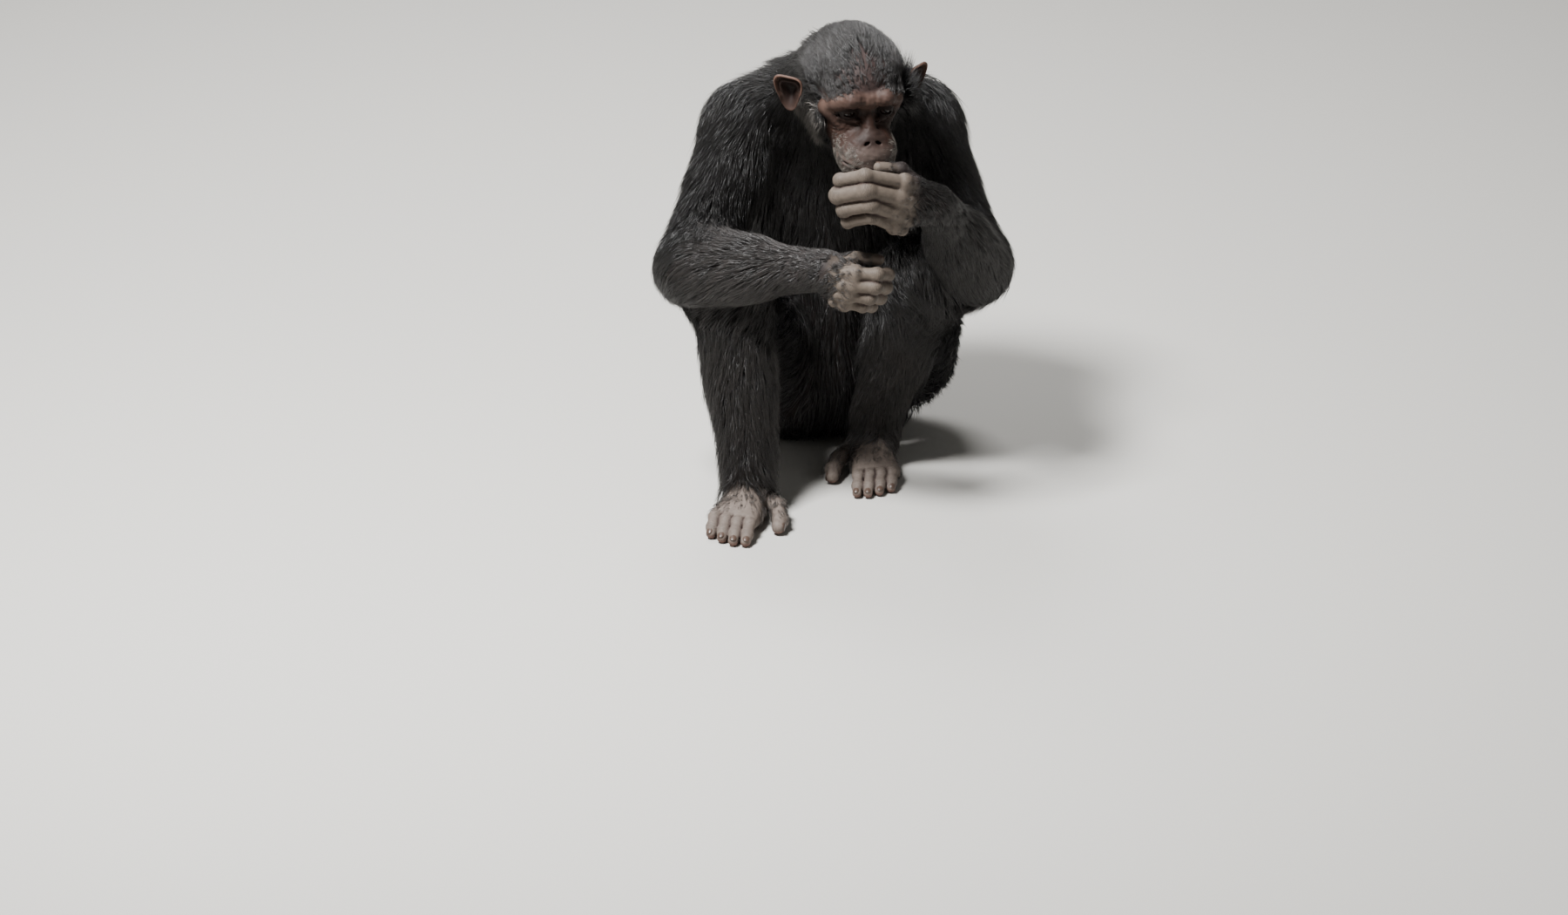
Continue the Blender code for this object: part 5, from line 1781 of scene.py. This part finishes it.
@dataclass
class Nails:
    """A nail on each finger and toe: a thin plate bent over the end of the digit.

    wrap is half the turn that a nail takes across its digit, lift its height and reach its half length in
    the digit's half thicknesses there, which are a share of those at the digit's root.
    """

    tone: str = "#4A3B33"
    rings: int = 9
    sides: int = 16
    wrap: float = 0.85
    lift: float = 0.93
    reach: float = 0.72
    thickness: float = 0.0011
    finger_share: float = 0.80
    toe_share: float = 0.85
    thumb_radius: float = 0.0085

    def plate(self, tip: Array, along: Array, back: Array, radius: float) -> tuple[Array, Array]:
        """One nail: a flattened ball, wrapped round the digit by its turn across over the radius.

        Args:
            tip: centre of the digit's end.
            along: the way the digit points.
            back: the way its back faces.
            radius: the digit's half thickness there.

        Returns:
            Points and faces.
        """
        points, faces = Ball(np.zeros(3), 1.0, LEVEL, self.rings, self.sides).mesh()
        across = np.cross(along, back)
        turned = points[:, :1] * self.wrap
        high = radius * self.lift + points[:, 2:] * self.thickness
        ahead = points[:, 1:2] * -radius * self.reach * along
        return tip + ahead + back * high * np.cos(turned) + across * high * np.sin(turned), faces

    def radius(self, name: str, half: float) -> float:
        """Half thickness below the nail of the digit with that name, whose root is half thick."""
        if name == "thumb":
            return self.thumb_radius
        return half * (self.toe_share if "toe" in name else self.finger_share)

    def build(self, material: bpy.types.Material) -> bpy.types.Object:
        """All the nails as one mesh."""
        plates, start = [], 0
        for name, joints, half in ALL_DIGITS:
            before, along = unit(joints[-2] - joints[-3]), unit(joints[-1] - joints[-2])
            bend = before - along * (before @ along)
            back = unit(bend if np.linalg.norm(bend) > 0.05 else vec(0, 0, 1) - along * along[2])
            points, faces = self.plate(joints[-1], along, back, self.radius(name, half))
            plates.append((points, faces + start))
            start += len(points)
        points, faces = (np.concatenate(kind) for kind in zip(*plates))
        nails = new_piece("nails", points, faces, material)
        paint(nails, np.tile(linear(self.tone), (len(points), 1)))
        return nails


@dataclass
class Ear:
    """One outer ear: a thin leaf, wide above and narrow at the lobe, with a rolled rim and a cup."""

    side: Side
    place: tuple[float, float, float] = (0.101, 0.004, -0.008)
    yaw: float = 30.0
    roll: float = 4.0
    thickness: float = 0.0042
    dish: float = 0.0085
    flare: float = 0.004
    roll_height: float = 0.0034
    groove: float = 0.0022
    ridge: float = 0.0036
    cup: float = 0.0075
    turns: tuple[float, ...] = (0, 25, 46, 66, 90, 118, 150, 180, 210, 240, 262, 285, 308, 335)
    reaches: tuple[float, ...] = (
        0.0220, 0.0290, 0.0385, 0.0345, 0.0315, 0.0330, 0.0230,
        0.0170, 0.0170, 0.0225, 0.0320, 0.0295, 0.0225, 0.0195,
    )

    def outline(self, angles: Array) -> Array:
        """Reach of the rim at each angle from straight out, smoothed by keeping its ten slowest waves.

        Args:
            angles: evenly spread angles.

        Returns:
            The reach at each.
        """
        raw = np.interp(np.degrees(angles), (*self.turns, 360), (*self.reaches, self.reaches[0]))
        waves = np.fft.rfft(raw)
        waves[10:] = 0
        return np.fft.irfft(waves, len(angles))

    def mesh(self, rings: int = 34, sides: int = 72) -> tuple[Array, Array, Array, Array]:
        """Points on a grid that runs from the cup out over the front, round the rim and in over the back.

        The leaf is a shallow dish. Its front has the rolled rim, the groove inside it, the inner ridge
        and the deep cup, each a bell curve of the share of the way out.

        Args:
            rings: rings on the front, and on the back.
            sides: points in a ring.

        Returns:
            Points, four-sided faces, and for each point its share of the cup's painted shade and of the rim's
            pink and painted light.
        """
        run = np.linspace(0.02, 1.98, 2 * rings)[:, None]
        angles = np.linspace(0, FULL_TURN, sides, endpoint=False)
        front = run <= 1
        out = np.where(front, run, 2 - run) ** 0.9 + 0 * angles
        reach = self.outline(angles)[None] * out
        across, up = reach * np.cos(angles), reach * np.sin(angles)
        upper = ease(np.sin(angles) + 0.4 * np.cos(angles), -0.2, 0.6)[None]
        low = ease(-np.sin(angles), 0.5, 1.0)[None]
        dish = self.dish * (1 - out**2) + self.flare * ease(across, -0.02, 0.03)
        thick = self.thickness / 2 * np.sqrt(np.clip(1 - out**8, 0, 1))
        rolled = -self.roll_height * bell(out, 0.93, 0.08) * (1 - 0.8 * low)
        groove, ridge = self.groove * bell(out, 0.76, 0.07), self.ridge * bell(out, 0.60, 0.10)
        detail = rolled + (groove - ridge) * upper
        depth = dish + self.cup * bell(out, 0.12, 0.36)
        depth = depth + np.where(front, -thick + detail, thick + 0.4 * detail)
        local = np.stack([self.side.value * across, depth, up], axis=-1).reshape(-1, 3)
        axes = HEAD_TURN @ turn(self.side.value * self.yaw, 0, self.side.value * self.roll)
        points = on_head(vec(self.place) * (self.side.value, 1, 1)) + local @ axes.T
        faces = grid_faces(2 * rings, sides)[:, :: -self.side.value]
        # painted shade in the hollow of the cup
        cup = bell(out, 0.15, 0.52) * front
        # pinkish rim, laid strongest on its upper part as painted light
        rim = bell(out, 0.93, 0.12) * front * (0.15 + 0.85 * ease(up, -0.005, 0.015))
        return points, faces, cup.reshape(-1, 1), rim.reshape(-1, 1)

    def build(self, material: bpy.types.Material) -> bpy.types.Object:
        """The ear, dark in its cup with painted shade, and pinkish along its rim, with painted light on the
        upper rim.
        """
        points, faces, cup, rim = self.mesh()
        ear = new_piece(f"ear_skin_{self.side.label}", points, faces, material)
        marks = Markings()
        colours = fade(linear(marks.ear), linear(marks.ear_cup), 0.9 * cup)
        paint(ear, fade(colours, linear(marks.ear_rim), 0.8 * rim))
        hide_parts(f"ear_{self.side.label}")
        return ear


# The studio


@dataclass(frozen=True)
class Lamp:
    """A square soft light that faces the animal."""

    name: str
    place: tuple[float, float, float]
    size: float
    power: float
    target: tuple[float, float, float] = (0.02, -0.15, 0.35)

    def build(self) -> None:
        """Hangs the light, turned so that its own -Z points at the target."""
        data = bpy.data.lights.new(self.name, "AREA")
        data.size, data.energy = self.size, self.power
        lamp = bpy.data.objects.new(self.name, data)
        lamp.location = self.place
        way = unit(vec(self.target) - vec(self.place))
        lamp.rotation_euler = (math.acos(-way[2]), 0, math.atan2(way[1], way[0]) - math.pi / 2)
        bpy.context.scene.collection.objects.link(lamp)


@dataclass
class Studio:
    """Pale floor, soft lights and the camera at the photograph's angle."""

    elevation: float = 22.0
    distance: float = 14.0
    lens: float = 207.4
    sensor: float = 36.0
    target: tuple[float, float, float] = (-0.0675, -0.3517, 0.0905)
    sky_tone: str = "#ECEAE6"
    sky_strength: float = 0.15
    floor_tone: str = "#BDBBB6"
    floor_roughness: float = 0.9
    floor_half: float = 20.0
    lamps: tuple[Lamp, ...] = (
        Lamp("key", (-1.15, -1.25, 3.1), 0.8, 360.0),
        Lamp("fill", (2.2, -2.4, 1.3), 2.0, 9.0),
        Lamp("rim", (-0.6, 2.0, 2.8), 1.4, 110.0),
    )

    def build(self) -> None:
        """Sets up the sky, the floor, the lights and the camera."""
        scene = bpy.context.scene
        scene.world = scene.world or bpy.data.worlds.new("studio")
        scene.world.use_nodes = True
        sky = scene.world.node_tree.nodes["Background"].inputs
        sky["Color"].default_value = (*linear(self.sky_tone), 1)
        sky["Strength"].default_value = self.sky_strength
        self.floor()
        for lamp in self.lamps:
            lamp.build()
        self.camera()

    def floor(self) -> None:
        """Lays one square of pale paper, which to the eye is matt and takes the soft shadow."""
        half = self.floor_half
        corners = [(-half, -half, 0), (half, -half, 0), (half, half, 0), (-half, half, 0)]
        mesh = bpy.data.meshes.new("floor")
        mesh.from_pydata(corners, [], [(0, 1, 2, 3)])
        paper = bpy.data.materials.new("pale paper floor")
        paper.use_nodes = True
        shader = paper.node_tree.nodes["Principled BSDF"].inputs
        shader["Base Color"].default_value = (*linear(self.floor_tone), 1)
        shader["Roughness"].default_value = self.floor_roughness
        mesh.materials.append(paper)
        floor = bpy.data.objects.new("floor", mesh)
        bpy.context.scene.collection.objects.link(floor)

    def camera(self) -> None:
        """Stands the camera off the target, raised by its elevation over the animal's front."""
        angle = math.radians(self.elevation)
        data = bpy.data.cameras.new("camera")
        data.lens, data.sensor_width = self.lens, self.sensor
        camera = bpy.data.objects.new("camera", data)
        camera.location = vec(self.target) + vec(0, -math.cos(angle), math.sin(angle)) * self.distance
        camera.rotation_euler = (math.pi / 2 - angle, 0, 0)
        bpy.context.scene.collection.objects.link(camera)
        bpy.context.scene.camera = camera


def main() -> None:
    """Builds the animal and the studio."""
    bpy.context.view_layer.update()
    hide, hair = Hide().material(), Hair().material()
    skin = Skin(Trunk(), Head(), [Arm(side) for side in Side], [Leg(side) for side in Side])
    flesh = skin.build(hide)
    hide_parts(*(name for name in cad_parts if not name.startswith(("ear", "eye"))))
    for side in Side:
        Ear(side).build(hide)
    Eyes().build(Wet().material())
    Nails().build(Horn().material())
    Coat(skin, hair).grow()
    Studio().build()


if __name__ == "__main__":
    logging.basicConfig(level=logging.INFO, format="%(message)s")
    main()
